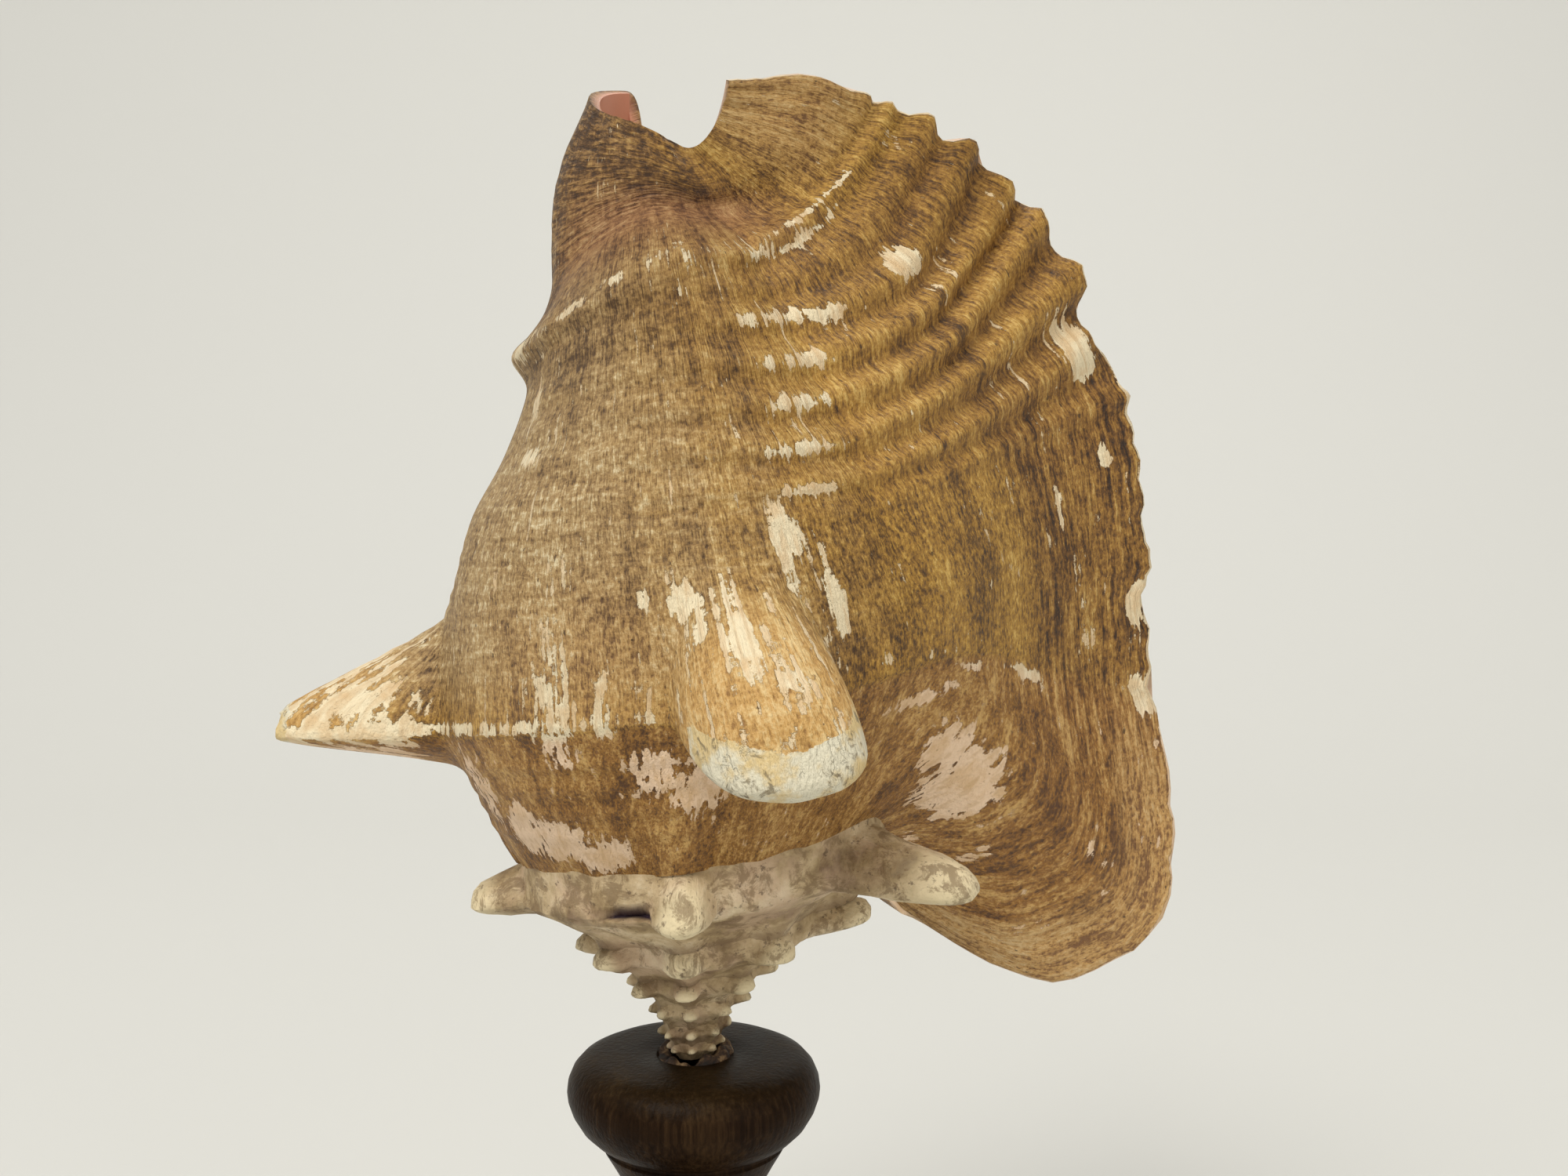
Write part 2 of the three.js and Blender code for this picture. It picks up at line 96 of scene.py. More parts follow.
# Rows of the fold crests at some shares of the lip, and how high each fold stands.
FOLD_SHARES = (0, 0.15, 0.45, 0.7, 0.95)
FOLD_CRESTS = [
    (1.265, 1.285, 1.305, 1.305, 1.31),
    (1.31, 1.328, 1.348, 1.352, 1.36),
    (1.355, 1.372, 1.392, 1.403, 1.42),
    (1.41, 1.424, 1.441, 1.457, 1.472),
    (1.46, 1.467, 1.482, 1.508, 1.53),
    (1.503, 1.511, 1.523, 1.548, 1.568),
    (1.55, 1.557, 1.568, 1.588, 1.602),
    (1.585, 1.602, 1.618, 1.632, 1.64),
    (1.63, 1.652, 1.675, 1.678, 1.68),
    (1.665, 1.7, 1.72, 1.72, 1.72),
]
FOLD_SIZES = (0, 0.3, 0.8, 1.1, 1.15, 1.05, 0.95, 0.35, 0.6, 0)
# The canal's ridge runs into this fold.
RIDGE_FOLD = 8
RIDGE_ANGLES = (175, 245, 265, 285, 301)
RIDGE_ROWS = (1.593, 1.592, 1.602, 1.618, 1.63)
# The knob on the canal where the ridge begins.
KNOB_ANGLE = 187
KNOB_WIDTH = 16
KNOB_HEIGHT = 2.8
RAMP_SHARE = 0.2
# How far the keel grows along the lip.
LIP_GROWTH = 62.0
# The wall's thickness, how deep its rounded edge goes, and the angles between which it thins out to the lip.
WALL = 4.6
WALL_AT_RIM = 2.6
EDGE_DEPTH = 1.5
WALL_START = 92.0
WALL_END = 315.0
# The coil is filled up to this angle, round a thin core on its axis.
CORE_END = 98.0
CORE_RADIUS = 0.4
# How deep the slit in the spire and the broken tip of the left spine are.
SLIT_ANGLE = -107
SLIT_CUT = 3.6
TIP_CUT = 2.2

# Spines on the keel: angle, length, half width, reach up and down the wall, droop, bluntness and lean.
LEFT_SPINE = 183
BODY_SPINES = [
    (285, 33.9, 17.6, 30, 10, 10.5, 3.4, 0.16),
    (LEFT_SPINE, 43.6, 17, 28, 9, 0.5, 1.25, 0),
    (100, 21.4, 15, 20, 10, 4, 1.6, 0),
    (26, 12, 13, 15, 9, 3, 1.6, 0),
    (-32, 29.8, 9, 9, 7.5, 2, 3.4, 0),
    (-90, 9.5, 8.5, 15, 7, 1.5, 2.0, 0),
    (-176, 13.2, 8.5, 9, 8, 1.5, 3.6, 0),
    (-238, 10, 7.5, 8, 7, 1, 2.4, 0),
    (-300, 10, 7.5, 8, 7, 1, 2.4, 0),
    (-362, 13.5, 6.8, 7.5, 5.5, -2.5, 3.4, 0),
]
# Share of a spine's reach that its tip takes, and how its flanks flare.
SPINE_TIP = 0.14
SPINE_FLARE = 1.35
LEFT_SPINE_CUT = 0.93
# The pegs on the spire: where they run and how far apart, and their size as a share of the keel's radius.
SPIRE_SPINES_START = -407
SPIRE_SPINES_END = 0.6 * TURN
SPIRE_SPINE_STEP = 45
SPIRE_SPINE_LENGTH = 0.25
SPIRE_SPINE_WIDTH = 0.24
SPIRE_SPINE_UNEVENNESS = 0.25
# The spire's growth is counted from here, so that its patterns don't repeat the body's.
SPIRE_GROWN_SHIFT = 600

# The stand's socket in millimetres, and the ring of residue in it in metres.
SOCKET_DEPTH = 6.5
RESIDUE_RADIUS = 0.0075
RESIDUE_HALF_WIDTH = 0.0023
RESIDUE_SUNK = 0.0024

# The camera stands this far to the right, and this angle above the stand's top.
CAMERA_SIDE = 0.02226
CAMERA_RISE = math.radians(20.0)


# Curves and noise


def smoothstep(x, lo, hi):
    t = np.clip((np.asarray(x, float) - lo) / (hi - lo), 0, 1)
    return t * t * (3 - 2 * t)


def mix(a, b, t):
    return a + (b - a) * t


def hermite(t, start, leaving, end, arriving):
    """A smooth path from start to end that leaves and arrives in the given directions."""
    t2, t3 = t * t, t * t * t
    path = start * (2 * t3 - 3 * t2 + 1) + leaving * (t3 - 2 * t2 + t)
    return path + end * (3 * t2 - 2 * t3) + arriving * (t3 - t2)


def curve_at(points, key, column=1):
    """A smooth curve through the points of a list, read at every key."""
    x = np.array([p[0] for p in points], float)
    y = np.array([p[column] for p in points], float)
    slope = np.empty_like(y)
    slope[1:-1] = (y[2:] - y[:-2]) / (x[2:] - x[:-2])
    slope[0] = (y[1] - y[0]) / (x[1] - x[0])
    slope[-1] = (y[-1] - y[-2]) / (x[-1] - x[-2])
    k = np.clip(np.asarray(key, float), x[0], x[-1])
    i = np.clip(np.searchsorted(x, k, side="left") - 1, 0, len(x) - 2)
    span = x[i + 1] - x[i]
    return hermite((k - x[i]) / span, y[i], span * slope[i], y[i + 1], span * slope[i + 1])


def lattice(ix, iy, iz, seed):
    """A steady random number from -1 to 1 for each lattice point."""
    h = (ix * 374761393 + iy * 668265263 + iz * 1440662683 + seed * 974634777) & 0xFFFFFFFF
    h = ((h ^ (h >> 13)) * 1274126177) & 0xFFFFFFFF
    h = ((h ^ (h >> 16)) * 2246822519) & 0xFFFFFFFF
    return (h ^ (h >> 15)) / 2147483648.0 - 1.0


def noise(x, y, z=0.0, seed=1):
    """Smooth value noise from -1 to 1."""
    x, y, z = np.broadcast_arrays(np.asarray(x, float), np.asarray(y, float), np.asarray(z, float))
    cell = [np.floor(v).astype(np.int64) for v in (x, y, z)]
    part = [v - c for v, c in zip((x, y, z), cell)]
    fade = [p * p * (3 - 2 * p) for p in part]
    total = np.zeros(x.shape)
    for dx in (0, 1):
        for dy in (0, 1):
            for dz in (0, 1):
                weight = (
                    (fade[0] if dx else 1 - fade[0])
                    * (fade[1] if dy else 1 - fade[1])
                    * (fade[2] if dz else 1 - fade[2])
                )
                total += weight * lattice(cell[0] + dx, cell[1] + dy, cell[2] + dz, seed)
    return total


def bell(x, centre, width):
    """1 at the centre, falling off softly on both sides."""
    return np.exp(-(((x - centre) / width) ** 2))


def between(x, start, full, fading, gone):
    """0 before start, 1 from full to fading, and 0 again once gone."""
    return smoothstep(x, start, full) * (1 - smoothstep(x, fading, gone))


def lumps_at(points, size, seed):
    """Noise in space, with lumps of about the given size."""
    place = points / size
    return noise(place[..., 0], place[..., 1], place[..., 2], seed=seed)


# The shell's surface


def whorl_size(sizes, last_growth, angle):
    sizes = np.array(sizes, float)
    whorl = (BODY_ANGLE - np.asarray(angle, float)) / TURN
    i = np.clip(np.floor(whorl).astype(int), 0, len(sizes) - 2)
    inner = sizes[i] * (sizes[i + 1] / sizes[i]) ** (whorl - i)
    return np.where(whorl <= 0, sizes[0] * last_growth ** (-whorl), inner)


def keel_radius(angle):
    return whorl_size(KEEL_RADII, LAST_RADIUS_GROWTH, angle)


def keel_height(angle):
    return whorl_size(KEEL_HEIGHTS, LAST_HEIGHT_GROWTH, angle)


def all_spines():
    spines = list(BODY_SPINES)
    at = SPIRE_SPINES_START
    while at > APEX_ANGLE + SPIRE_SPINES_END:
        size = float(keel_radius(at))
        reach = SPIRE_SPINE_WIDTH * size
        length = SPIRE_SPINE_LENGTH * size * (1 + SPIRE_SPINE_UNEVENNESS * math.sin(at * 1.7))
        spines.append((at, length, reach, reach, 0.8 * reach, 0.02 * size, 2.1, 0))
        at -= SPIRE_SPINE_STEP
    return spines


SPINES = all_spines()


def spine_lift(angle, from_keel):
    """How far the nearest spine lifts the wall, lowers it, and how near its tip is."""
    angle, from_keel = np.broadcast_arrays(np.asarray(angle, float), np.asarray(from_keel, float))
    lift = np.zeros(angle.shape)
    drop = np.zeros(angle.shape)
    tip = np.zeros(angle.shape)
    for at, length, width, up, down, droop, blunt, lean in SPINES:
        across = (np.radians(angle - at) * float(keel_radius(at)) + lean * from_keel) / width
        along = from_keel / np.where(from_keel > 0, up, down)
        reach = np.hypot(across, along)
        away = np.clip((reach - SPINE_TIP) / (1 - SPINE_TIP), 0, 1)
        foot = np.clip(1 - reach / 1.5, 0, 1)
        rise = 0.84 * (1 - away**blunt) ** SPINE_FLARE + 0.16 * foot * foot * (3 - 2 * foot)
        rise = np.where(np.abs(across) >= 1.5, 0, np.minimum(rise, LEFT_SPINE_CUT if at == LEFT_SPINE else 1))
        lift += length * rise
        drop += droop * rise
        tip = np.maximum(tip, rise)
    return lift, drop, tip


def suture_on(angle):
    radius = keel_radius(angle)
    above = RAMP_SHARE * (keel_height(angle + TURN) - keel_height(angle))
    lift, _, _ = spine_lift(angle, above)
    return radius * 0.985 + lift - 0.9, keel_height(angle) + above + 0.22 * lift


def row_height(row, angle):
    """Share of the wall's height at a row, with more room for the middle rows on the front."""
    w = row - 1
    return w + 0.17 * smoothstep(angle, 190, 290) * (bell(w, 0.66, 0.2) - 0.06 * w)


def outline_at(share, angle):
    inner = curve_at(COLUMELLA_OUTLINE, share)
    left = curve_at(LEFT_OUTLINE, share)
    front = curve_at(FRONT_OUTLINE, share)
    early = mix(inner, left, smoothstep(angle, -30, BODY_ANGLE))
    late = mix(left, front, smoothstep(angle, BODY_ANGLE, 290))
    return np.where(angle < BODY_ANGLE, early, late)


def fold_shape(row, share):
    """Size of the spiral folds, from 0 to about 1, and how near a point is to a crest, from -1 to 1."""
    row, share = np.broadcast_arrays(np.asarray(row, float), np.asarray(share, float))
    crests = [np.interp(share, FOLD_SHARES, places) for places in FOLD_CRESTS]
    place = np.zeros(row.shape)
    for low, high in zip(crests, crests[1:]):
        place += np.clip((row - low) / (high - low), 0, 1)
    size = np.interp(place, np.arange(len(FOLD_SIZES)), FOLD_SIZES)
    return size, 1 - 2 * np.abs(np.sin(math.pi * place)) ** 2.5


def canal_ridge(angle, row, share):
    """Height of the ridge that runs from the knob on the canal up into the lip."""
    on_lip = np.interp(share, FOLD_SHARES, FOLD_CRESTS[RIDGE_FOLD])
    from_line = row - np.where(share > 0, on_lip, np.interp(angle, RIDGE_ANGLES, RIDGE_ROWS))
    at_knob = bell(angle, KNOB_ANGLE, KNOB_WIDTH)
    side = np.where(from_line > 0, 0.032, 0.02 + 0.014 * at_knob)
    along = (2.7 + 0.7 * noise(angle / 9, share * 9, seed=45)) * (1 - smoothstep(share, 0.05, 0.6))
    return (KNOB_HEIGHT * at_knob + along) * bell(from_line, 0, side) * smoothstep(angle, 130, 172)


def canal_hollow(angle, row):
    """How far the wall is drawn in between that ridge and the canal's rim."""
    deep = mix(2.2, 4.4, smoothstep(angle, 195, 255))
    from_middle = row - 1.7 - 0.03 * smoothstep(angle, 200, 260)
    side = np.where(from_middle < 0, 0.055, 0.11)
    return deep * bell(from_middle, 0, side) * smoothstep(angle, 130, 180)


def slit_depth(angle, row):
    """The slit worn through the whorl before the last, left of its middle spine."""
    across = (angle - SLIT_ANGLE) / 8
    along = (row - 1.002) / np.where(row > 1.002, 0.012, 0.05)
    return np.clip(1.3 * np.exp(-(across**4) - along**2) - 0.12, 0, 1)


def tip_break(angle, row):
    """The broken end of the left spine, a shallow cup."""
    return bell(angle, LEFT_SPINE + 1, 1.6) * bell(row, 1.014, 0.018)


def whorl_point(angle, row, spiny):
    """Points of the coiled wall, and how near each is to a spine's tip."""
    angle, row = np.broadcast_arrays(np.asarray(angle, float), np.asarray(row, float))
    radius, height = keel_radius(angle), keel_height(angle)
    suture_r, suture_z = suture_on(angle - TURN)
    climb = np.clip(row, 0, 1)
    hollow = mix(0.05, -0.02, smoothstep(angle, -60, 40)) * smoothstep(angle, -1400, -900)
    ramp_r = mix(suture_r, radius, row) - hollow * radius * np.sin(math.pi * climb**0.8)
    ramp_z = mix(suture_z, height, row)
    ramp_from = (row - 1) * np.hypot(radius - suture_r, height - suture_z)
    share = np.clip(row_height(row, angle), 0, 1)
    early = angle < -TURN * 0.75
    rim = np.where(early, height * 2.4, curve_at(RIM_HEIGHTS, angle))
    wall_r = radius * outline_at(share, angle) - canal_hollow(angle, row)
    wall_z = mix(height, rim, share)
    wall_from = share * (rim - height)
    lean = np.where(early, 0, -CANAL_LEAN * np.clip((share - 0.25) / 0.75, 0, 1) ** 2)
    if spiny:
        size, crest = fold_shape(row, 0)
        grows = smoothstep(angle, 190, 240) * (0.3 + 0.7 * smoothstep(angle, 240, 300))
        wall_r = wall_r + SURFACE["fold_on_body"] * size * crest * grows
        wall_r = wall_r + canal_ridge(angle, row, 0.0)
    ramp = row < 1
    r = np.where(ramp, ramp_r, wall_r)
    z = np.where(ramp, ramp_z, wall_z)
    lean = np.where(ramp, 0, lean)
    tip = np.zeros(angle.shape)
    if spiny:
        lift, drop, tip = spine_lift(angle, np.where(ramp, ramp_from, wall_from))
        soft_keel = 0.035 * radius * bell(row, 1, 0.07) * (1 - smoothstep(angle, -40, 30))
        cut = SLIT_CUT * slit_depth(angle, row) + TIP_CUT * tip_break(angle, row)
        r = r + lift - soft_keel - cut
        z = z - drop
    turn = np.radians(angle)
    return np.stack([lean + r * np.cos(turn), r * np.sin(turn), z], -1), tip


def unit(v):
    return v / np.maximum(np.linalg.norm(v, axis=-1, keepdims=True), 1e-9)


def grid_normals(points):
    """Outward directions of a grid whose columns follow the growth and whose rows climb."""
    along = np.gradient(points, axis=0)
    across = np.gradient(points, axis=1)
    return unit(np.cross(along, across))


def lip_grid(shares, rows, spiny):
    """Points of the flared lip: columns from where it leaves the coil to its edge."""
    row = np.asarray(rows, float)[None, :]
    t = np.asarray(shares, float)
    t = t[:, None] if t.ndim == 1 else t
    t, row = np.broadcast_arrays(t, row)
    angle = curve_at(FLARE_ANGLES, row)
    start, _ = whorl_point(angle, row, False)
    before, _ = whorl_point(angle - 2.0, row, False)
    end = np.stack([curve_at(LIP_EDGE, row, n) for n in (1, 2, 3)], -1)
    flare = unit(np.stack([curve_at(FLARE_DIRECTIONS, row, n) for n in (1, 2, 3)], -1))
    reach = np.linalg.norm(end - start, axis=-1, keepdims=True)
    points = hermite(t[..., None], start, unit(start - before) * reach, end, flare * reach)
    if spiny:
        size, crest = fold_shape(row, t)
        height = mix(SURFACE["fold_on_body"], SURFACE["fold_at_lip"], smoothstep(t, 0, 0.8))
        lifted = height * size * crest + canal_ridge(angle, row, np.maximum(t, 1e-6))
        points = points + grid_normals(points) * lifted[..., None]
    return points


# Broken places along the lip's edge: row, half length and depth as a share of the lip.
EDGE_CHIPS = [
    (1.425, 0.022, 0.05), (1.09, 0.02, 0.022), (0.985, 0.012, 0.02), (1.3, 0.008, 0.012),
    (1.62, 0.012, 0.035), (1.56, 0.006, 0.02), (1.74, 0.01, 0.02), (1.2, 0.01, 0.012), (0.6, 0.02, 0.01),
]


def ragged(shares, rows):
    """The lip's shares drawn back to a broken, uneven edge."""
    size, crest = fold_shape(rows, 0.95)
    back = 0.008 * (1 + noise(rows * 45, 0, seed=31)) + 0.006 * (1 + noise(rows * 130, 0, seed=32))
    back = back + 0.010 * size * (1 - crest)
    flaked = between(rows, 1.44, 1.5, 1.74, 1.8)
    back = back + 0.02 * flaked * np.clip(0.2 + noise(rows * 70, 0, seed=33), 0, 1)
    for row, reach, depth in EDGE_CHIPS:
        back = back + depth * np.clip(1.3 * bell(rows, row, reach), 0, 1)
    shares = np.asarray(shares)[:, None]
    return shares - back[None, :] * shares**9


# Heights of the folds and strength of the growth lines, which the shell's settings replace.
SURFACE = {"fold_on_body": 0.9, "fold_at_lip": 1.8, "growth_lines": 1.0}


def rim_lines_at(angle, row, share):
    """Where the lines of growth follow the canal's rim, not the lip's edge."""
    on_canal = smoothstep(angle, 180, 205) * (1 - 0.5 * smoothstep(angle, 285, 296))
    return smoothstep(row, 1.64, 1.74) * on_canal * (1 - smoothstep(share, 0.0, 0.22))


def join_rows(*parts):
    return np.concatenate([np.asarray(p, float) for p in parts])


def every(values, step):
    """Each second or third value and so on, and always the last."""
    thin = values[::step]
    return thin if (len(values) - 1) % step == 0 else join_rows(thin, values[-1:])


def shell_columns():
    """The growth stations of the outer wall: angles on the coil, then shares of the lip."""
    coil = join_rows(
        np.arange(-290, -200, 4.0),
        np.arange(-200, -20, 1.5),
        np.arange(-20, 92, 3.0),
        np.arange(92, 170, 2.0),
        np.arange(170, WALL_END, 0.9),
        [WALL_END],
    )
    return coil, np.linspace(0, 1, 64)[1:]


OUTER_ROWS = join_rows(
    np.linspace(0, 0.7, 20)[:-1],
    np.linspace(0.7, 1, 14)[:-1],
    np.linspace(1, 1.34, 29)[:-1],
    np.linspace(1.34, 1.72, 61)[:-1],
    np.linspace(1.72, 2, 15),
)
SPIRE_ROWS = join_rows(np.linspace(0, 1, 17)[:-1], np.linspace(1, 1.28, 9))


def stations(coil, shares):
    """Distance grown along the keel, in millimetres, at every column."""
    step = np.radians(np.diff(coil, prepend=coil[0]))
    grown = np.cumsum(step * keel_radius(coil))
    return join_rows(grown, grown[-1] + LIP_GROWTH * shares)


def wall_places(coil, shares, rows):
    """Distance grown, row and share of the lip, for every point of a wall's grid."""
    grown = stations(coil, shares)[:, None]
    share = join_rows(np.zeros(len(coil)), shares)[:, None]
    grown, row, share = np.broadcast_arrays(grown, rows[None, :], share)
    return {"grown": grown, "row": row, "share": share}


def coil_angles(coil, rows):
    share = np.clip((coil - WALL_START) / (WALL_END - WALL_START), 0, 1)[:, None]
    return coil[:, None] + (curve_at(FLARE_ANGLES, rows)[None, :] - WALL_END) * share**4


def fine_relief(points, at):
    """Millimetres that the growth lines, cords, steps and lumps stand out or in."""
    grown, row, angle, share, tip = (at[key] for key in ("grown", "row", "angle", "share", "tip"))
    body = smoothstep(angle, 60, 130)
    strip = smoothstep(share, 0.35, 0.8) * (1 - smoothstep(row, 1.36, 1.46))
    top = smoothstep(share, 0.3, 0.8) * smoothstep(row, 1.66, 1.78)
    turned = rim_lines_at(angle, row, share)
    lines = 0.3 * noise(grown / 8, row * 1.5, seed=5)
    lines = lines + 0.16 * noise(grown / 3, row * 5, seed=4) * (0.5 + 0.5 * body)
    wander = 2 * noise(grown / 20, row * 4, seed=6)
    steps = 0.34 * noise(grown / 2.4, row * 3 + wander, seed=3) * (strip + 1.2 * top)
    cords = 0.16 * np.cos(2 * math.pi * row / 0.021) * between(row, 1.04, 1.12, 1.26, 1.34)
    cords = cords + 0.22 * np.cos(2 * math.pi * row / 0.16 + 1) * between(row, 0.1, 0.3, 0.75, 0.9)
    rough = 0.35 * lumps_at(points, 5, 8) * smoothstep(tip, 0.6, 1)
    wander = noise(grown / 9, row * 6, seed=47)
    along_rim = 0.45 * noise(grown / 22, row * 42 + wander, seed=46) * turned
    relief = lines * (0.5 + 0.5 * strip) * (1 - 0.8 * turned) + steps + cords * body + rough + along_rim
    lumps = 0.7 * lumps_at(points, 30, 7) * smoothstep(angle, -60, 60)
    lumps = lumps + 0.5 * lumps_at(points, 4, 9) * (1 - smoothstep(angle, -20, 40))
    return SURFACE["growth_lines"] * relief + lumps


def outer_wall():
    """Points of the outer wall with its fine relief, and what its finish depends on."""
    coil, shares = shell_columns()
    rows = OUTER_ROWS
    angle = coil_angles(coil, rows)
    points, tip = whorl_point(angle, rows[None, :], True)
    lip = lip_grid(ragged(shares, rows), rows, True)
    points = np.concatenate([points, lip])
    last = np.broadcast_to(curve_at(FLARE_ANGLES, rows)[None, :], lip.shape[:2])
    at = wall_places(coil, shares, rows)
    at["angle"] = np.concatenate([angle, last])
    at["tip"] = np.concatenate([tip, np.zeros(lip.shape[:2])])
    return points + grid_normals(points) * fine_relief(points, at)[..., None], at


def core_offset(angles):
    """From the axis to the thin core that the filled coils close on."""
    turn = np.radians(angles)[:, None]
    return CORE_RADIUS * np.stack([np.cos(turn), np.sin(turn), 0 * turn], -1)


def inner_wall():
    """Points of the inside: the axis while the coil is filled, then the wall's inner face."""
    coil, shares = shell_columns()
    coil, shares, rows = every(coil, 2), every(shares[1:], 2), every(OUTER_ROWS, 2)
    points, _ = whorl_point(coil_angles(coil, rows), rows[None, :], False)
    points = np.concatenate([points, lip_grid(ragged(shares, rows), rows, False)])
    thick = mix(WALL, WALL_AT_RIM, smoothstep(rows, 1.5, 2))[None, :]
    thin = join_rows(np.ones(len(coil)), mix(1, 0.7, shares))[:, None]
    inside = points - grid_normals(points) * (thick * thin)[..., None]
    filled = coil < CORE_END
    low = points[: len(coil), 0, 2][filled][:, None]
    high = points[: len(coil), -1, 2][filled][:, None]
    climb = np.linspace(0, 1, len(rows))[None, :]
    axis = np.zeros((int(filled.sum()), len(rows), 3))
    axis[..., 0] = np.where(high > CANAL_FROM, -CANAL_LEAN, 0) * climb**3
    axis[..., 2] = mix(low, high, climb)
    inside[: len(axis)] = axis + core_offset(coil[filled])
    return inside, wall_places(coil, shares, rows)


def to_metres(points):
    placed = np.array(points, float)
    placed[..., 2] += STAND_HEIGHT - APEX_DEPTH
    return placed / 1000


# Meshes


def deselect_all():
    if bpy.context.object and bpy.context.object.mode != "OBJECT":
        bpy.ops.object.mode_set(mode="OBJECT")
    bpy.ops.object.select_all(action="DESELECT")


def make_active(*objects):
    deselect_all()
    for o in objects:
        o.select_set(True)
    bpy.context.view_layer.objects.active = objects[0]


def add_sheet(name, points):
    """A grid primitive whose vertices are moved onto a grid of points."""
    columns, rows = points.shape[:2]
    deselect_all()
    bpy.ops.mesh.primitive_grid_add(x_subdivisions=columns - 1, y_subdivisions=rows - 1, size=1)
    sheet = bpy.context.object
    sheet.name = name
    sheet.data.name = name
    places = to_metres(points).transpose(1, 0, 2).reshape(-1, 3)
    sheet.data.vertices.foreach_set("co", places.ravel())
    sheet.data.update()
    return sheet


def flat_values(values):
    return np.asarray(values, float).T.ravel()


def border(shape, offset, side):
    """Vertex numbers along one side of a sheet, in a joined mesh."""
    columns, rows = shape
    number = offset + np.arange(rows)[:, None] * columns + np.arange(columns)[None, :]
    return {"low": number[0], "high": number[-1], "start": number[:, 0], "end": number[:, -1]}[side]


def zip_borders(bm, left, left_at, right, right_at):
    """Closes the gap between two lines of vertices that run side by side."""
    i = j = 0
    while i < len(left) - 1 or j < len(right) - 1:
        step_left = j == len(right) - 1 or (i < len(left) - 1 and left_at[i + 1] <= right_at[j + 1])
        a, b = bm.verts[left[i]], bm.verts[right[j]]
        c = bm.verts[left[i + 1]] if step_left else bm.verts[right[j + 1]]
        bm.faces.new((a, b, c))
        i, j = (i + 1, j) if step_left else (i, j + 1)


def close_wall(name, outer, inner, column_at, row_at, inner_column_at, inner_row_at):
    """Joins an outer and an inner sheet into one closed body."""
    front = add_sheet(name, outer)
    back = add_sheet(name + "_back", inner)
    make_active(front, back)
    bpy.ops.object.join()
    wall = bpy.context.object
    bm = bmesh.new()
    bm.from_mesh(wall.data)
    bm.verts.ensure_lookup_table()
    first = outer.shape[0] * outer.shape[1]
    for side, at, inner_at in (
        ("low", column_at, inner_column_at),
        ("high", column_at, inner_column_at),
        ("start", row_at, inner_row_at),
        ("end", row_at, inner_row_at),
    ):
        zip_borders(bm, border(outer.shape[:2], 0, side), at, border(inner.shape[:2], first, side), inner_at)
    bm.to_mesh(wall.data)
    bm.free()
    bpy.ops.object.mode_set(mode="EDIT")
    bpy.ops.mesh.select_all(action="SELECT")
    bpy.ops.mesh.normals_make_consistent(inside=False)
    bpy.ops.object.mode_set(mode="OBJECT")
    return wall


def write_values(piece, name, values):
    layer = piece.data.attributes.new(name, "FLOAT", "POINT")
    layer.data.foreach_set("value", np.asarray(values, np.float32))


def write_growth_map(piece, grown, row):
    """A map of the surface: across is the distance grown, up is the row."""
    mesh = piece.data
    for old in list(mesh.uv_layers):
        mesh.uv_layers.remove(old)
    corner = np.empty(len(mesh.loops), np.int32)
    mesh.loops.foreach_get("vertex_index", corner)
    layer = mesh.uv_layers.new(name="growth")
    layer.data.foreach_set("uv", np.stack([grown[corner] / 100, row[corner]], -1).astype(np.float32).ravel())


def write_look(wall, values, at, back_values, back_at):
    """Gives the outer and the inner sheet of a wall what their finish reads."""

    def both(front, back):
        return np.concatenate([flat_values(front), flat_values(back)])

    for name in VALUE_NAMES:
        write_values(wall, name, both(values[name], back_values[name]))
    write_growth_map(wall, both(at["grown"], back_at["grown"]), both(at["row"], back_at["row"]))


def smooth_by_angle(piece, degrees):
    make_active(piece)
    bpy.ops.object.shade_smooth_by_angle(angle=math.radians(degrees))


# Materials


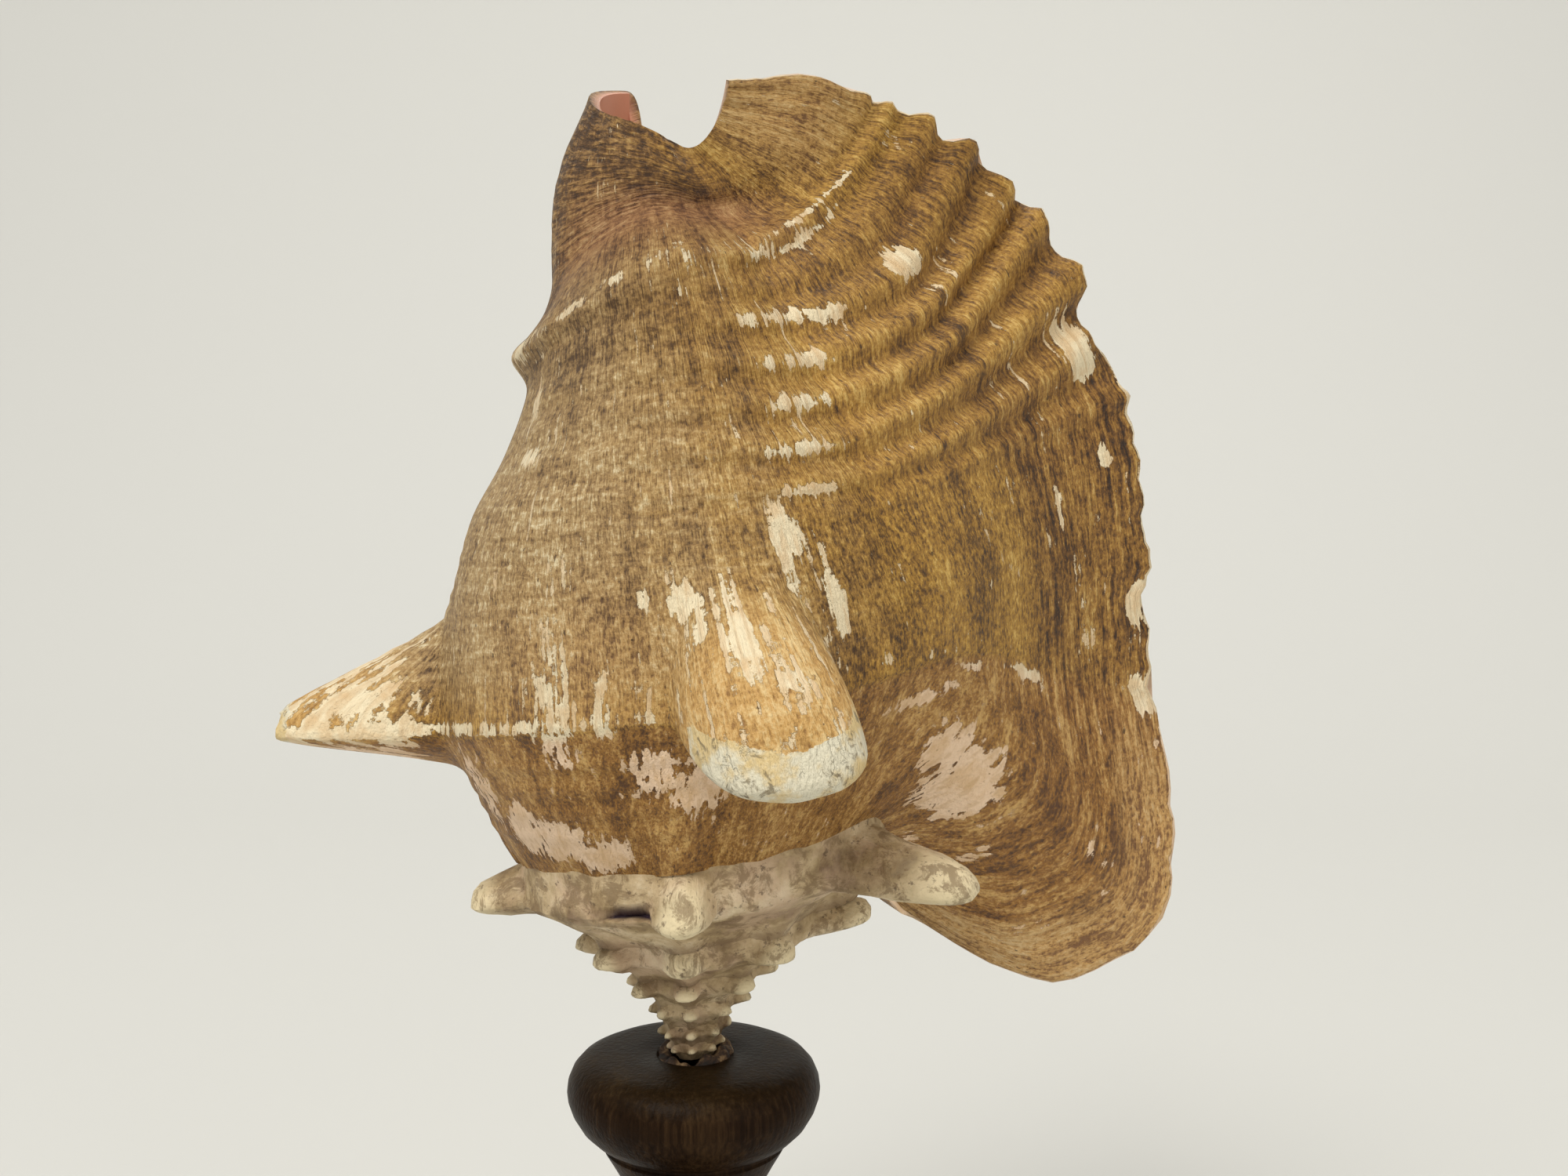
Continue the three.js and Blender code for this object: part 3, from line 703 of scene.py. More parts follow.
class Nodes:
    """A short way to wire a material."""

    def __init__(self, name):
        self.material = bpy.data.materials.new(name)
        self.material.use_nodes = True
        self.tree = self.material.node_tree
        self.shader = self.tree.nodes["Principled BSDF"]

    def add(self, kind, inputs=None, **settings):
        node = self.tree.nodes.new("ShaderNode" + kind)
        for key, value in settings.items():
            setattr(node, key, value)
        for key, value in (inputs or {}).items():
            self.feed(node.inputs[key], value)
        return node

    def feed(self, socket, value):
        if isinstance(value, bpy.types.NodeSocket):
            self.tree.links.new(value, socket)
        else:
            socket.default_value = value

    def math(self, operation, a, b):
        return self.add("Math", {0: a, 1: b}, operation=operation).outputs[0]

    def times(self, a, b):
        return self.math("MULTIPLY", a, b)

    def minus(self, a, b):
        return self.math("SUBTRACT", a, b)

    def plus(self, first, *more):
        for value in more:
            first = self.math("ADD", first, value)
        return first

    def about(self, value, gain):
        """A noise's swing round its middle, times a gain."""
        return self.times(self.minus(value, 0.5), gain)

    def ease(self, value, low, high, most=1.0):
        """0 below low, most above high, smooth between."""
        limits = {"Value": value, "From Min": low, "From Max": high, "To Max": most}
        return self.add("MapRange", limits, interpolation_type="SMOOTHSTEP").outputs["Result"]

    def mix(self, share, a, b):
        """A colour between a and b."""
        node = self.add("Mix", {0: share}, data_type="RGBA")
        self.feed(node.inputs[6], rgba(a))
        self.feed(node.inputs[7], rgba(b))
        return node.outputs[2]

    def blend(self, share, a, b):
        """A number between a and b."""
        return self.add("Mix", {0: share, 2: a, 3: b}, data_type="FLOAT").outputs[0]

    def value(self, name):
        return self.add("Attribute", attribute_name=name, attribute_type="GEOMETRY").outputs["Fac"]

    def place(self):
        return self.add("TexCoord").outputs["Object"]

    def noise(self, vector, scale, detail=3.0, rough=0.55, warp=0.0):
        look = {"Vector": vector, "Scale": scale, "Detail": detail, "Roughness": rough, "Distortion": warp}
        return self.add("TexNoise", look).outputs["Fac"]

    def streaks(self, vector, size, detail=3.0, rough=0.55, warp=0.0):
        """Noise drawn out by different scales along each axis."""
        scale = (*size, 1.0)[:3]
        drawn = self.add("Mapping", {"Vector": vector, "Scale": scale}).outputs["Vector"]
        return self.noise(drawn, 1.0, detail, rough, warp)

    def ramp(self, value, stops):
        node = self.add("ValToRGB", {"Fac": value})
        band = node.color_ramp
        while len(band.elements) < len(stops):
            band.elements.new(0.5)
        for element, (at, *colour) in zip(band.elements, stops):
            element.position = at
            element.color = (*colour, 1)
        return node.outputs["Color"]

    def bump(self, height, distance, strength=1.0):
        look = {"Height": height, "Distance": distance, "Strength": strength}
        return self.add("Bump", look).outputs["Normal"]

    def finish(self, **inputs):
        for key, value in inputs.items():
            self.feed(self.shader.inputs[key.replace("_", " ")], value)
        return self.material


def rgba(colour):
    """A colour with its alpha, or a node's output as it is."""
    return colour if isinstance(colour, bpy.types.NodeSocket) else (*colour[:3], 1.0)


def shell_patterns(n):
    """The noises and mesh values that the shell's finishes share."""
    growth = n.add("UVMap", uv_map="growth").outputs["UV"]
    place = n.place()
    along = n.add("SeparateXYZ", {"Vector": growth})
    s = SimpleNamespace(growth=growth, place=place, grown=along.outputs["X"], row=along.outputs["Y"])
    for name in VALUE_NAMES:
        setattr(s, name, n.value(name))
    s.outside = n.minus(1.0, s.inside)
    s.below = n.ease(s.row, 0.99, 0.95)
    s.fibre = n.streaks(growth, (210, 55), 3, 0.6, 0.2)
    s.lines = n.streaks(growth, (70, 9), 4, 0.6, 0.15)
    s.bands = n.streaks(growth, (15, 2.2), 3, 0.5, 0.1)
    s.comb = n.streaks(growth, (72, 10), 2, 0.5, 0.15)
    s.along_rim = n.streaks(growth, (7, 115), 4, 0.62, 0.3)
    s.cloud = n.noise(place, 38.0, 4, 0.6)
    s.soft = n.noise(place, 85.0, 5, 0.65)
    s.patch = n.noise(place, 125.0, 4, 0.6)
    s.flakes = n.noise(place, 170.0, 5, 0.72)
    s.grit = n.noise(place, 780.0, 4, 0.7)
    return s


def skin_tone(n, s):
    """From dark to light over the skin: fibres, growth lines and bands, or lines along the canal's rim, with
    a painted highlight on the fold crests and the canal's ridge.
    """
    tone = n.plus(n.about(s.fibre, 1.05), n.times(n.about(s.lines, 1.5), n.blend(s.strand, 0.32, 1.0)))
    tone = n.blend(s.turned, tone, n.about(s.along_rim, 1.5))
    rings = n.ease(n.streaks(s.growth, (42, 1.6), 3, 0.6), 0.54, 0.66)
    rings = n.times(rings, n.plus(n.times(s.crest, 0.2), n.times(s.strand, 0.16)))
    tone = n.minus(n.plus(tone, n.about(s.bands, 0.6)), rings)
    tone = n.plus(tone, n.about(s.cloud, 0.5), n.about(s.patch, 0.45), n.about(s.grit, 1.1))
    tone = n.minus(tone, n.times(s.turned, n.blend(s.red, 0.12, 0.0)))
    # Painted highlight: the skin is made lighter on the fold crests and the canal's ridge.
    return n.plus(tone, 0.5, n.times(s.crest, 0.12))


def skin_colours(n, s, look):
    """The outer skin: gold, greyer on the left, browner at the lip, warmer below the keel, with painted light
    on the middle of the body and the lobe's edge, and painted shade below the canal's ridge and in the fold
    valleys.
    """
    tone = skin_tone(n, s)
    gold = [(0.12, 0.055, 0.022, 0.003), (0.33, 0.18, 0.085, 0.012), (0.5, *look.skin_colour)]
    gold = n.ramp(tone, gold + [(0.66, 0.5, 0.275, 0.045), (0.88, 0.72, 0.47, 0.13)])
    fleck = n.streaks(s.growth, (22, 120), 4, 0.7, 0.5)
    cord = n.streaks(s.growth, (3, 62), 3, 0.55, 0.2)
    # Darker from row 1.42 up: painted shadow below the canal's ridge, and darker skin above it.
    mottled_and_shaded = n.minus(n.plus(tone, n.about(fleck, 0.8), n.about(cord, 0.55)), n.ease(s.row, 1.42, 1.56, 0.2))
    pale = [(0.1, 0.09, 0.045, 0.016), (0.32, 0.29, 0.175, 0.067), (0.5, 0.43, 0.275, 0.115)]
    pale = n.ramp(mottled_and_shaded, pale + [(0.67, 0.58, 0.42, 0.21), (0.88, 0.84, 0.72, 0.47)])
    brown = [(0.12, 0.03, 0.011, 0.002), (0.36, 0.13, 0.053, 0.008), (0.53, 0.26, 0.12, 0.021)]
    brown = n.ramp(tone, brown + [(0.75, 0.42, 0.22, 0.045), (0.95, 0.58, 0.38, 0.13)])
    amber = n.ramp(tone, [(0.2, 0.36, 0.18, 0.04), (0.5, 0.64, 0.37, 0.11), (0.8, 0.8, 0.58, 0.27)])
    warm = n.ramp(tone, [(0.15, 0.11, 0.038, 0.014), (0.5, 0.37, 0.175, 0.07), (0.85, 0.56, 0.34, 0.17)])
    streaked = n.plus(tone, n.about(s.comb, 1.1), n.about(s.bands, 0.7))
    rust = n.ramp(streaked, [(0.1, 0.1, 0.035, 0.005), (0.5, 0.35, 0.155, 0.028), (0.9, 0.68, 0.42, 0.15)])
    flush_and_painted_light = n.ramp(tone, [(0.2, 0.24, 0.11, 0.035), (0.5, 0.62, 0.36, 0.12), (0.8, 0.74, 0.52, 0.26)])
    skin = n.mix(n.times(s.grey, 0.9), gold, pale)
    # Browner skin on the strip, the lobe and by the canal, with dirt and painted shade in the fold valleys.
    skin = n.mix(n.times(s.dark, 0.9), skin, brown)
    skin = n.mix(n.ease(s.tip, 0.1, 0.6, 0.85), skin, amber)
    skin = n.mix(n.times(s.red, 0.8), skin, warm)
    skin = n.mix(n.times(s.below, 0.75), skin, rust)
    # Painted light: a paler flush on the middle of the body and along the lobe's edge.
    skin = n.mix(n.times(s.light, 0.7), skin, flush_and_painted_light)
    pits = n.ease(n.streaks(s.growth, (80, 60), 2, 0.5), 0.69, 0.74, 0.75)
    return n.mix(pits, skin, (0.045, 0.022, 0.008))


def worn_share(n, s):
    """1 where the skin has worn off."""
    torn = n.times(n.about(s.comb, 1.9), n.blend(s.below, 1.0, 0.85))
    torn = n.plus(torn, n.about(s.cloud, 0.7), n.about(s.flakes, 1.9), s.wear)
    scuffs = n.ease(n.streaks(s.growth, (60, 34), 4, 0.75, 0.5), 0.71, 0.75, 0.7)
    return n.times(n.math("MAXIMUM", n.ease(torn, 0.42, 0.52), scuffs), s.outside)


def worn_colours(n, s, look):
    """Cream where the skin has gone, pinker below the keel, with stains of skin left in it."""
    cream = n.mix(n.ease(s.row, 0.98, 0.9), look.worn_colour, (0.94, 0.69, 0.47))
    cream = n.mix(n.ease(s.patch, 0.45, 0.65, 0.5), cream, (0.7, 0.43, 0.18))
    return n.mix(n.ease(s.comb, 0.5, 0.64, 0.4), cream, (0.62, 0.38, 0.16))


def crusted(n, s, colour):
    """The rough, cracked white ends of the body's spines."""
    bone = n.mix(n.ease(s.patch, 0.42, 0.58), (0.8, 0.74, 0.56), (0.74, 0.56, 0.27))
    cracks = n.noise(s.place, 210.0, 5, 0.7, 0.8)
    bone = n.mix(n.ease(cracks, 0.55, 0.64, 0.8), bone, (0.2, 0.15, 0.08))
    broken = n.ease(n.plus(s.crust, n.about(s.flakes, 1.2)), 0.5, 0.58)
    return n.mix(n.times(broken, s.outside), colour, bone)


def chalk_colours(n, s):
    """The bare, stained spire."""
    dark = [(0.3, 0.17, 0.1, 0.045), (0.44, 0.38, 0.27, 0.135)]
    chalk = n.ramp(s.soft, dark + [(0.56, 0.57, 0.43, 0.25), (0.7, 0.78, 0.65, 0.44)])
    stain = n.noise(s.place, 130.0, 6, 0.75, 0.6)
    specks = n.noise(s.place, 420.0, 4, 0.7)
    for share, colour in (
        (n.ease(s.cloud, 0.5, 0.62, 0.45), (0.58, 0.4, 0.28)),
        (n.ease(s.tip, 0.35, 0.95, 0.8), (0.84, 0.72, 0.46)),
        (n.ease(stain, 0.5, 0.6, 0.7), (0.2, 0.125, 0.055)),
        (n.ease(s.row, 0.3, 0.02, 0.6), (0.2, 0.125, 0.065)),
        (n.ease(specks, 0.6, 0.68, 0.7), (0.1, 0.06, 0.03)),
    ):
        chalk = n.mix(share, chalk, colour)
    return chalk


def mouth_colours(n, s, look):
    """The glossy inside, paler towards the lip's edge."""
    flesh = n.mix(n.ease(s.grown, 5.2, 6.0), look.mouth_colour, (0.82, 0.56, 0.38))
    return n.mix(n.ease(n.noise(s.place, 16.0, 2), 0.4, 0.7, 0.35), flesh, (0.84, 0.6, 0.42))


def shell_bump(n, s, worn):
    height = n.plus(n.times(s.fibre, 0.8), n.times(s.lines, n.blend(s.strand, 0.7, 1.5)))
    height = n.blend(s.turned, height, n.times(s.along_rim, 1.8))
    height = n.minus(n.plus(height, n.times(s.grit, 0.45)), n.times(worn, 0.3))
    fibrous = n.times(n.minus(1.0, n.times(s.bare, 0.8)), s.outside)
    height = n.times(height, n.plus(n.times(fibrous, 0.95), 0.05))
    chalky = n.plus(n.times(s.soft, 1.2), n.times(s.patch, 0.8))
    return n.bump(n.plus(height, n.times(chalky, s.bare)), 0.0012, 0.9)


def shell_finish(look):
    n = Nodes("shell")
    s = shell_patterns(n)
    worn = worn_share(n, s)
    colour = n.mix(worn, skin_colours(n, s, look), worn_colours(n, s, look))
    colour = crusted(n, s, colour)
    colour = n.mix(n.times(s.bare, s.outside), colour, chalk_colours(n, s))
    colour = n.mix(s.inside, colour, mouth_colours(n, s, look))
    # Painted shade: near black in the slit and in the cup of the left spine's broken tip.
    colour = n.mix(s.hollow, colour, (0.03, 0.011, 0.022))
    rough = n.blend(worn, n.blend(n.ease(s.fibre, 0.3, 0.7), 0.42, 0.72), 0.6)
    rough = n.blend(s.inside, n.blend(s.bare, rough, 0.68), 0.24)
    return n.finish(Base_Color=colour, Roughness=rough, Normal=shell_bump(n, s, worn), IOR=1.5)


def wood_finish(look):
    n = Nodes("stand")
    place = n.place()
    grain = n.streaks(place, (900, 900, 22), 4, 0.6, 0.3)
    broad = n.streaks(place, (90, 90, 6), 3, 0.5, 0.4)
    figure = n.plus(n.times(grain, 0.55), n.times(broad, 0.45))
    stain = [(0.3, 0.003, 0.0012, 0.0004), (0.5, *look.wood_colour), (0.72, 0.05, 0.027, 0.011)]
    worn = [(0.3, 0.006, 0.003, 0.001), (0.55, 0.02, 0.011, 0.004), (0.8, 0.055, 0.034, 0.014)]
    colour = n.mix(n.value("top"), n.ramp(figure, stain), n.ramp(figure, worn))
    rough = n.blend(figure, look.sheen - 0.1, look.sheen + 0.16)
    bumps = n.bump(n.plus(n.times(grain, 0.8), n.noise(place, 700.0, 3)), 0.0004, 0.5)
    return n.finish(Base_Color=colour, Roughness=rough, Normal=bumps, Specular_IOR_Level=0.05)


def residue_finish():
    n = Nodes("residue")
    patch = n.noise(n.place(), 260.0, 5, 0.65)
    colour = n.ramp(patch, [(0.4, 0.008, 0.004, 0.002), (0.52, 0.05, 0.025, 0.011), (0.66, 0.3, 0.19, 0.09)])
    return n.finish(Base_Color=colour, Roughness=0.8, Normal=n.bump(patch, 0.001, 0.8))


def wall_finish(colour):
    n = Nodes("backdrop")
    tone = n.noise(n.place(), 1.2, 2, 0.5)
    return n.finish(Base_Color=n.mix(n.times(tone, 0.06), colour, (0.6, 0.58, 0.54)), Roughness=0.9)


# Settings


def colour_choice(name, description, default):
    return FloatVectorProperty(
        name=name, description=description, default=default, min=0, max=1, subtype="COLOR"
    )


def number_choice(name, description, default, most, subtype="NONE", least=0.0):
    return FloatProperty(
        name=name, description=description, default=default, min=least, max=most, subtype=subtype
    )


def length_choice(name, description, default, most, least=0.0):
    return FloatProperty(
        name=name, description=description, default=default, min=least, max=most, unit="LENGTH", precision=4
    )


def power_choice(name, description, default):
    return FloatProperty(name=name, description=description, default=default, min=0, unit="POWER")


class ConchShellSettings(bpy.types.PropertyGroup):
    fold_on_body: number_choice(
        "Fold height on the body", "Height of the spiral folds where they begin, in millimetres", 0.9, 3
    )
    fold_at_lip: number_choice(
        "Fold height at the lip", "Height of the spiral folds at the lip's edge, in millimetres", 1.8, 3.5
    )
    growth_lines: number_choice(
        "Growth lines", "How strongly the lines of growth stand out", 1.0, 2, subtype="FACTOR"
    )
    skin_colour: colour_choice("Skin", "Middle tone of the golden outer skin", (0.36, 0.185, 0.027))
    worn_colour: colour_choice("Worn", "Colour of the shell where its skin has gone", (0.9, 0.77, 0.52))
    mouth_colour: colour_choice("Mouth", "Colour of the glossy inside", (0.72, 0.33, 0.22))


class ConchStandSettings(bpy.types.PropertyGroup):
    steps: IntProperty(name="Steps", description="Facets round the turned stand", default=96, min=24, max=256)
    wood_colour: colour_choice("Wood", "Middle tone of the dark stain", (0.016, 0.0075, 0.003))
    sheen: number_choice(
        "Roughness", "Roughness of the waxed wood", 0.38, 0.9, subtype="FACTOR", least=0.1
    )
    residue: length_choice(
        "Residue", "How far the old adhesive stands up round the apex", 0.0022, 0.004
    )


class ConchStageSettings(bpy.types.PropertyGroup):
    wall_colour: colour_choice("Wall", "Colour of the plain backdrop", (0.66, 0.66, 0.63))
    lens: number_choice("Lens", "Focal length of the camera, in millimetres", 41.6, 300, least=20)
    distance: length_choice("Distance", "From the camera to the stand's axis", 0.434, 10, least=0.1)
    pitch: number_choice(
        "Pitch", "How far the camera looks down", math.radians(5.63), 1.5, subtype="ANGLE", least=-1.5
    )
    key_power: power_choice("Key light", "Power of the large soft light", 84.0)
    wall_power: power_choice("Wall light", "Power of the light on the backdrop", 4.0)
    fill_power: power_choice("Fill light", "Power of the fill light and the light from behind", 16.0)


# Pieces


# What each point of the shell's surface tells its finish.
VALUE_NAMES = (
    "wear", "bare", "inside", "crest", "strand", "dark", "grey", "tip", "crust", "turned", "red", "light",
    "hollow",
)
# Worn places on the body whorl: distance grown, row, half width, half height and strength.
WORN_PATCHES = [
    (430, 0.34, 10, 0.17, 0.9), (443, 0.27, 11, 0.17, 0.9), (457, 0.17, 10, 0.13, 0.85),
    (416, 0.6, 8, 0.3, 0.6), (473, 0.7, 7, 0.16, 0.72), (483, 0.6, 8, 0.2, 0.72),
    (553, 0.42, 8, 0.2, 0.9), (545, 0.5, 5, 0.17, 0.72), (452, 0.97, 6, 0.2, 0.7),
    (463, 1.0, 3, 0.1, 0.6), (482, 1.2, 5, 0.045, 0.62), (491, 1.19, 3, 0.05, 0.6),
    (496, 1.13, 4, 0.035, 0.5), (474, 1.2, 3, 0.035, 0.45), (506, 1.285, 4, 0.06, 0.9),
    (505, 1.22, 2, 0.05, 0.5), (513, 1.16, 2.5, 0.1, 0.75), (509, 1.09, 3, 0.05, 0.6),
    (522, 1.03, 3, 0.02, 0.7), (533, 0.76, 5, 0.06, 0.65), (540, 0.82, 3, 0.05, 0.45),
    (545, 0.92, 5, 0.015, 0.6), (560, 0.95, 7, 0.012, 0.6), (561, 1.574, 4, 0.014, 0.95),
    (436, 1.42, 5, 0.014, 0.7), (429, 1.49, 3, 0.04, 0.6), (410, 1.6, 9, 0.018, 0.7),
    (447, 1.597, 10, 0.008, 0.7), (468, 1.61, 8, 0.007, 0.6), (588, 1.42, 4, 0.03, 1.2),
    (592, 1.09, 2.5, 0.03, 1.2), (591, 0.97, 2.5, 0.022, 1.2), (587, 1.3, 1.5, 0.02, 0.9),
    (575, 1.25, 1.2, 0.03, 0.6), (568, 0.4, 3, 0.06, 0.4), (578, 0.66, 4, 0.03, 0.45),
    (566, 0.2, 4, 0.05, 0.45),
]
# Worn lengths of fold crests: row, and the distances grown where the wear starts and stops.
WORN_CRESTS = [
    (1.348, 508, 527, 0.8), (1.404, 507, 533, 0.8), (1.457, 513, 533, 0.9), (1.501, 514, 536, 0.85),
    (1.547, 512, 546, 0.95), (1.625, 526, 538, 0.9),
]


def fold_crest(row, share):
    size, crest = fold_shape(row, share)
    return np.clip(size * (0.5 + 0.5 * crest), 0, 1)


def left_of_front(angle):
    """1 on the left spine, 0 on the middle one."""
    return 1 - smoothstep(angle, 215, 235)


def wear_on_wall(at):
    """How worn the outer skin is, from below 0 for sound to 1 for bare."""
    grown, row, share, angle = at["grown"], at["row"], at["share"], at["angle"]
    line = row - 1.004 + 0.008 * noise(grown / 14, 0, seed=42)
    line_width = (0.02 + 0.009 * noise(grown / 9, 0, seed=41)) * (1 - 0.35 * smoothstep(grown, 395, 425))
    keel = (1 - 0.2 * smoothstep(grown, 388, 415)) * (0.85 + 0.4 * noise(grown / 6, row * 30, seed=43))
    keel = keel * between(grown, 300, 340, 470, 486) * bell(line, 0, line_width)
    tip = at["tip"] * smoothstep(angle, 60, 120)
    wear = (0.2 + 0.33 * left_of_front(angle)) * smoothstep(tip, 0.04, 0.3)
    wear = np.maximum(wear, keel)
    for g, r, wide, tall, strength in WORN_PATCHES:
        near = ((grown - g) / wide) ** 2 + ((row - r) / tall) ** 2
        wear = np.maximum(wear, strength * 1.1 * np.exp(-(near**1.5)))
    wear = np.maximum(wear, 0.08 * canal_ridge(angle, row, share) * (1 - smoothstep(share, 0, 0.1)))
    broken = 0.78 + 0.6 * noise(grown / 2.6, row * 26, seed=48)
    for r, start, stop, strength in WORN_CRESTS:
        along = between(grown, start - 3, start + 3, stop - 5, stop + 3)
        wear = np.maximum(wear, strength * along * broken * bell(row, r, 0.009))
    for offset in (0.0, -0.02):
        ridge = np.interp(share, FOLD_SHARES, FOLD_CRESTS[RIDGE_FOLD]) + offset
        along = between(share, 0.02, 0.1, 0.55 + 8 * offset, 0.75 + 8 * offset)
        wear = np.maximum(wear, 0.75 * along * bell(row, ridge, 0.005))
    return np.maximum(wear, 0.9 * smoothstep(share, 0.982, 0.997))


def crust_at(at):
    """How far a point lies on the rough white end of one of the body's spines."""
    angle, row, tip = at["angle"], at["row"], at["tip"]
    uneven = 0.012 * noise(at["grown"] / 3, row * 40, seed=44)
    middle = smoothstep(tip, 0.35, 0.6) * (1 - smoothstep(row + uneven, 1.05, 1.085))
    return np.where(angle < 60, 0, mix(middle, smoothstep(tip, 0.82, 0.9), left_of_front(angle)))


def wall_values(at):
    angle, row, share, grown = at["angle"], at["row"], at["share"], at["grown"]
    fade = noise(grown / 9, row * 3, seed=21) * 12
    crest = fold_crest(row, share)
    strip = smoothstep(share, 0.42, 0.62) * between(row, 0.75, 1.0, 1.33, 1.45)
    lobe = (1 - smoothstep(row, 0.75, 1.0)) * smoothstep(share, 0.35, 0.55)
    under = smoothstep(row, 1.6, 1.68) * smoothstep(angle, 185, 225) * (1 - smoothstep(share, 0.1, 0.6))
    upper = smoothstep(row, 1.66, 1.76) * smoothstep(grown, 500, 540)
    folded = between(row, 1.28, 1.36, 1.62, 1.68) * smoothstep(angle, 255, 290)
    # Dirt and painted shade in the valleys between the folds.
    valley_dirt_and_shade = (1 - crest) * between(row, 1.34, 1.4, 1.6, 1.68) * smoothstep(share, 0.1, 0.6)
    # Painted light on the middle of the body, round the keel.
    painted_light_middle = bell(grown, 458, 30) * between(row, 0.97, 1.0, 1.08, 1.3)
    at_rim = smoothstep(row, 1.66, 1.78) * smoothstep(share, 0.25, 0.7)
    # Painted light along the lobe's edge.
    painted_light_lobe_edge = (1 - smoothstep(row, 0.8, 1.0)) * smoothstep(share + fade / 150, 0.72, 0.92)
    under_rim = bell(row, 1.74, 0.09) * smoothstep(angle, 190, 250)
    return {
        "wear": wear_on_wall(at),
        "bare": 1 - smoothstep(angle + fade, 25, 60),
        "inside": np.zeros(row.shape),
        # crest: near a fold crest or on the canal's ridge; the skin is painted lighter there as a highlight,
        # and dark rings run along it
        "crest": crest * smoothstep(angle, 240, 300) + 0.3 * canal_ridge(angle, row, share),
        "strand": np.clip(strip + 0.75 * upper + 0.6 * lobe, 0, 1),
        "dark": np.clip(0.9 * strip + 0.7 * lobe + 0.6 * under + 0.5 * valley_dirt_and_shade + 0.42 * folded, 0, 1),
        "grey": (1 - smoothstep(grown + fade, 450, 540)) * smoothstep(row, 1.0, 1.12),
        "tip": at["tip"],
        "crust": crust_at(at),
        "turned": rim_lines_at(angle, row, share),
        "red": under_rim * (1 - smoothstep(share, 0, 0.4)),
        # light: painted light on the middle of the body and along the lobe's edge, and paler skin up towards
        # the rim on the lip
        "light": np.clip(at_rim + 0.75 * painted_light_middle + 1.3 * painted_light_lobe_edge, 0, 1.3),
        # hollow: painted shade in the slit and in the broken tip's cup
        "hollow": smoothstep(slit_depth(angle, row), 0.25, 0.6)
        + 0.3 * smoothstep(tip_break(angle, row), 0.45, 0.8),
    }


def edge_round(outer):
    """Turns the lip's outer face in towards the middle of the wall at its edge."""
    normals = grid_normals(outer)
    rim = outer[-1] - normals[-1] * EDGE_DEPTH
    rounded = outer.copy()
    for back, depth in ((1, 0.75), (2, 0.25), (3, 0.08)):
        rounded[-back] = outer[-back] - normals[-back] * depth
    rounded[-1] = mix(rounded[-1], rounded[-2], 0.35)
    return np.concatenate([rounded, rim[None]])


class CONCH_OT_shell(bpy.types.Operator):
    """Model the whole shell, from the worn apex to the flared lip, as one piece"""

    bl_idname = "conch.shell"
    bl_label = "Shell"

    def execute(self, context):
        look = context.scene.conch_shell
        for name in SURFACE:
            SURFACE[name] = getattr(look, name)
        make_active(self.body(), self.spire())
        bpy.ops.object.join()
        piece = bpy.context.object
        piece.name = "conch_shell"
        smooth_by_angle(piece, 55)
        piece.data.materials.append(shell_finish(look))
        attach(piece, "root")
        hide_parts("shell")
        return {"FINISHED"}

    def body(self):
        """The body whorl and the lip, and the whorl before them."""
        outer, at = outer_wall()
        inner, within = inner_wall()
        outer = edge_round(outer)
        at = {key: np.concatenate([value, value[-1:]]) for key, value in at.items()}
        columns = at["grown"][:, 0] + np.arange(len(outer)) * 1e-6
        inner_columns, inner_rows = within["grown"][:, 0], within["row"][0]
        wall = close_wall("shell_wall", outer, inner, columns, OUTER_ROWS, inner_columns, inner_rows)
        values = wall_values(at)
        values["inside"][-1] = 0.5 * smoothstep(at["row"][-1], 0.15, 0.4)
        sound = np.zeros(within["row"].shape)
        under_lobe = smoothstep(within["share"], 0.9, 0.97) * (1 - smoothstep(within["row"], 0.15, 0.4))
        back = {**dict.fromkeys(VALUE_NAMES, sound), "wear": sound - 1, "inside": 1 - under_lobe}
        write_look(wall, values, at, back, within)
        return wall

    def spire(self):
        """The coils before the body whorl, down to the apex."""
        coil = join_rows(np.arange(APEX_ANGLE + 150, -900, 6.0), np.arange(-900, -280, 2.5), [-280.0])
        rows = SPIRE_ROWS
        points, tip = whorl_point(coil[:, None], rows[None, :], True)
        at = wall_places(coil, np.zeros(0), rows)
        at["grown"] = at["grown"] - SPIRE_GROWN_SHIFT
        size = np.clip(keel_radius(coil) / 20, 0.25, 1)[:, None]
        relief = (0.55 * lumps_at(points, 4, 9) + 0.16 * lumps_at(points, 1.6, 10)) * size
        points = points + grid_normals(points) * relief[..., None]
        core = every(coil, 3)
        core_rows = np.linspace(0, rows[-1], 3)
        low = whorl_point(core, np.zeros(len(core)), False)[0][:, 2]
        high = whorl_point(core, np.full(len(core), rows[-1]), False)[0][:, 2]
        axis = np.zeros((len(core), 3, 3))
        axis[..., 2] = mix(low[:, None], high[:, None], np.linspace(0, 1, 3)[None, :])
        piece = close_wall("shell_spire", points, axis + core_offset(core), coil, rows, core, core_rows)
        blank, unseen = np.zeros(tip.shape), np.zeros((len(core), 3))
        values = dict.fromkeys(VALUE_NAMES, blank)
        values.update(bare=blank + 1, tip=tip, crust=smoothstep(tip, 0.8, 0.97))
        back = dict.fromkeys(VALUE_NAMES, unseen)
        write_look(piece, values, at, back, {"grown": unseen, "row": unseen})
        return piece


